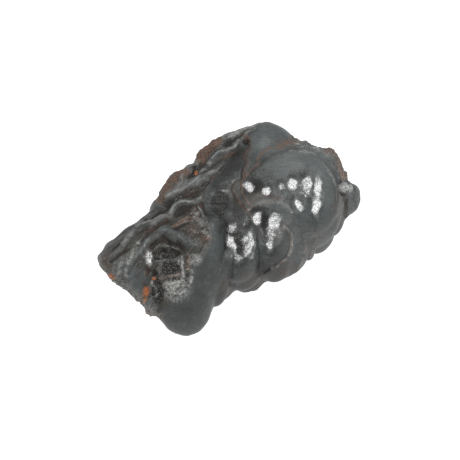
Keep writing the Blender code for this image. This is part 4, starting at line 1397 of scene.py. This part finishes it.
# %% The glossy crust
MEAN_WEAR_NOISE = 1.87
COAT_ROUGHNESS, COAT_IOR, SPECULAR_LEVEL = 0.13, 2.9, 0.2
worn_edge = worn_part + speckle * 1.7 + mottle * 1.3 + dust * 0.7 - MEAN_WEAR_NOISE
dots = (1 - speckle.between(0.50, 0.60) * 0.35) * (dust.between(0.36, 0.48) * 0.2 + 0.8)
core = worn_edge.between(0.38, 0.78) * dots * (cracks * 0.7 + 0.3) * (mottle.between(0.36, 0.56) * 0.5 + 0.5)
halo = worn_part * worn_edge.between(0.0, 0.50) * dots * (cracks * 0.6 + 0.4)
bright = core + halo * 0.4
glints = broken_part * crest_part * speckle.between(0.48, 0.60) * 0.08
gloss = (1 - rusty_part) * (1 - dark_and_shade_part) * (glints + 0.03) + bright * 0.97
hematite.feed(hematite.shader.inputs["Coat Weight"], gloss)
hematite.shader.inputs["Coat Roughness"].default_value = COAT_ROUGHNESS
hematite.shader.inputs["Coat IOR"].default_value = COAT_IOR
hematite.shader.inputs["Specular IOR Level"].default_value = SPECULAR_LEVEL
print("the crust mirrors %.0f%% of the light straight on" % (100 * ((COAT_IOR - 1) / (COAT_IOR + 1)) ** 2))

# %% [markdown]
# ## Fine relief
#
# What is smaller than the mesh's cells of 0.4 mm, such as grains, the crackle and the fine grooves, is a
# bump on the normal. It is weak on the skin, stronger on the broken side, and makes a sharp step at each
# rim. A finer mesh could hold all this too, but it would have many times the triangles.

# %% The bump
BUMP_DEPTH, BUMP_STRENGTH = 0.16 * MM, 0.8
relief = speckle * (crumbly_part * 1.4 + broken_part * 0.3 + 0.12) + crackle * (broken_part * 0.3 + 0.06)
relief = relief + (mottle * 0.6 - grooves * 2.2) * rough_part + brush * painted_light_part * 0.4
relief = relief + dust * (broken_part * 0.4 + 0.1) + near_rim_part * rim_distance.between(-0.2, 0.2) * 1.5
values = {"Height": relief, "Distance": BUMP_DEPTH, "Strength": BUMP_STRENGTH}
bump = hematite.node("ShaderNodeBump", {}, values)
hematite.feed(hematite.shader.inputs["Normal"], bump.outputs[0])
stone.data.materials.append(hematite.material)
print(len(hematite.tree.nodes), "nodes in the material")

# %% [markdown]
# ## The table, the light and the eye
#
# The stone lies on a white table under one large soft light straight overhead, with a weaker, smaller one
# low at the front right and pale light all round. The table throws light up onto the lower lobes, which
# draws their pale lower edges. The camera looks down at the lobed flank and the low end, along the show
# side's own direction and from its distance. A curved backdrop would hide the table's far edge, but from
# this height the edge isn't seen.

# %% The table
TABLE_HALF, TABLE_DROP = 3.0, 0.1 * MM
TABLE_GREY, TABLE_ROUGHNESS, TABLE_GLOW = 0.25, 0.9, 1.05


def make_table(half, drop):
    """A flat square, `half` metres from middle to edge, a hair under the stone."""
    mesh = bpy.data.meshes.new("table")
    corners = [(x * half, y * half, -drop) for x, y in ((-1, -1), (1, -1), (1, 1), (-1, 1))]
    mesh.from_pydata(corners, [], [(0, 1, 2, 3)])
    table = bpy.data.objects.new("table", mesh)
    bpy.context.scene.collection.objects.link(table)
    return table


table = make_table(TABLE_HALF, TABLE_DROP)
white = Graph("table_white")
white.feed(white.shader.inputs["Base Color"], (TABLE_GREY, TABLE_GREY, TABLE_GREY, 1))
white.feed(white.shader.inputs["Roughness"], TABLE_ROUGHNESS)
white.feed(white.shader.inputs["Emission Color"], (1, 1, 1, 1))
white.feed(white.shader.inputs["Emission Strength"], TABLE_GLOW)
table.data.materials.append(white.material)
print("the table is", 2 * TABLE_HALF, "m wide")

# %% Light
KEY_SIZE, KEY_HEIGHT, KEY_POWER = 0.85, 0.9, 6.6
FILL_SIZE, FILL_POWER, FILL_PLACE = 0.6, 0.8, (0.17, -0.55, 0.20)
ROOM_COLOUR, ROOM_STRENGTH = (0.95, 0.98, 1.0, 1), 0.52


def add_light(name, place, aim, size, power):
    """A square soft light at `place`, turned towards `aim`."""
    light = bpy.data.lights.new(name, "AREA")
    light.size, light.energy = size, power
    lamp = bpy.data.objects.new(name, light)
    lamp.location = place
    lamp.rotation_euler = (Vector(aim) - Vector(place)).to_track_quat("-Z", "Y").to_euler()
    bpy.context.scene.collection.objects.link(lamp)


add_light("overhead", (0, 0, KEY_HEIGHT), (0, 0, 0), KEY_SIZE, KEY_POWER)
add_light("fill", FILL_PLACE, (0, 0, 0), FILL_SIZE, FILL_POWER)
world = bpy.data.worlds.new("pale_room")
world.use_nodes = True
world.node_tree.nodes["Background"].inputs["Color"].default_value = ROOM_COLOUR
world.node_tree.nodes["Background"].inputs["Strength"].default_value = ROOM_STRENGTH
bpy.context.scene.world = world
bpy.context.scene.view_settings.view_transform = "Standard"
print("light overhead %.1f W, fill %.1f W" % (KEY_POWER, FILL_POWER))

# %% Camera
LENS, SENSOR_WIDTH, NEAREST = 85.0, 36.0, 0.01
camera = bpy.data.objects.new("camera", bpy.data.cameras.new("camera"))
camera.data.lens = LENS
camera.data.sensor_width = SENSOR_WIDTH
camera.data.clip_start = NEAREST
target = Vector(((MIDDLE - SOLID_MIDDLE) * MM).tolist())
camera.location = target + Vector((SHOW.out * EYE * MM).tolist())
camera.rotation_euler = (target - camera.location).to_track_quat("-Z", "Y").to_euler()
bpy.context.scene.collection.objects.link(camera)
bpy.context.scene.camera = camera
print("camera at", [round(v, 3) for v in camera.location])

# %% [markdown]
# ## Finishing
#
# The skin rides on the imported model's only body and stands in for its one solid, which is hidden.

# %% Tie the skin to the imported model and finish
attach(stone, "root")
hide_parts("hematite_stone")
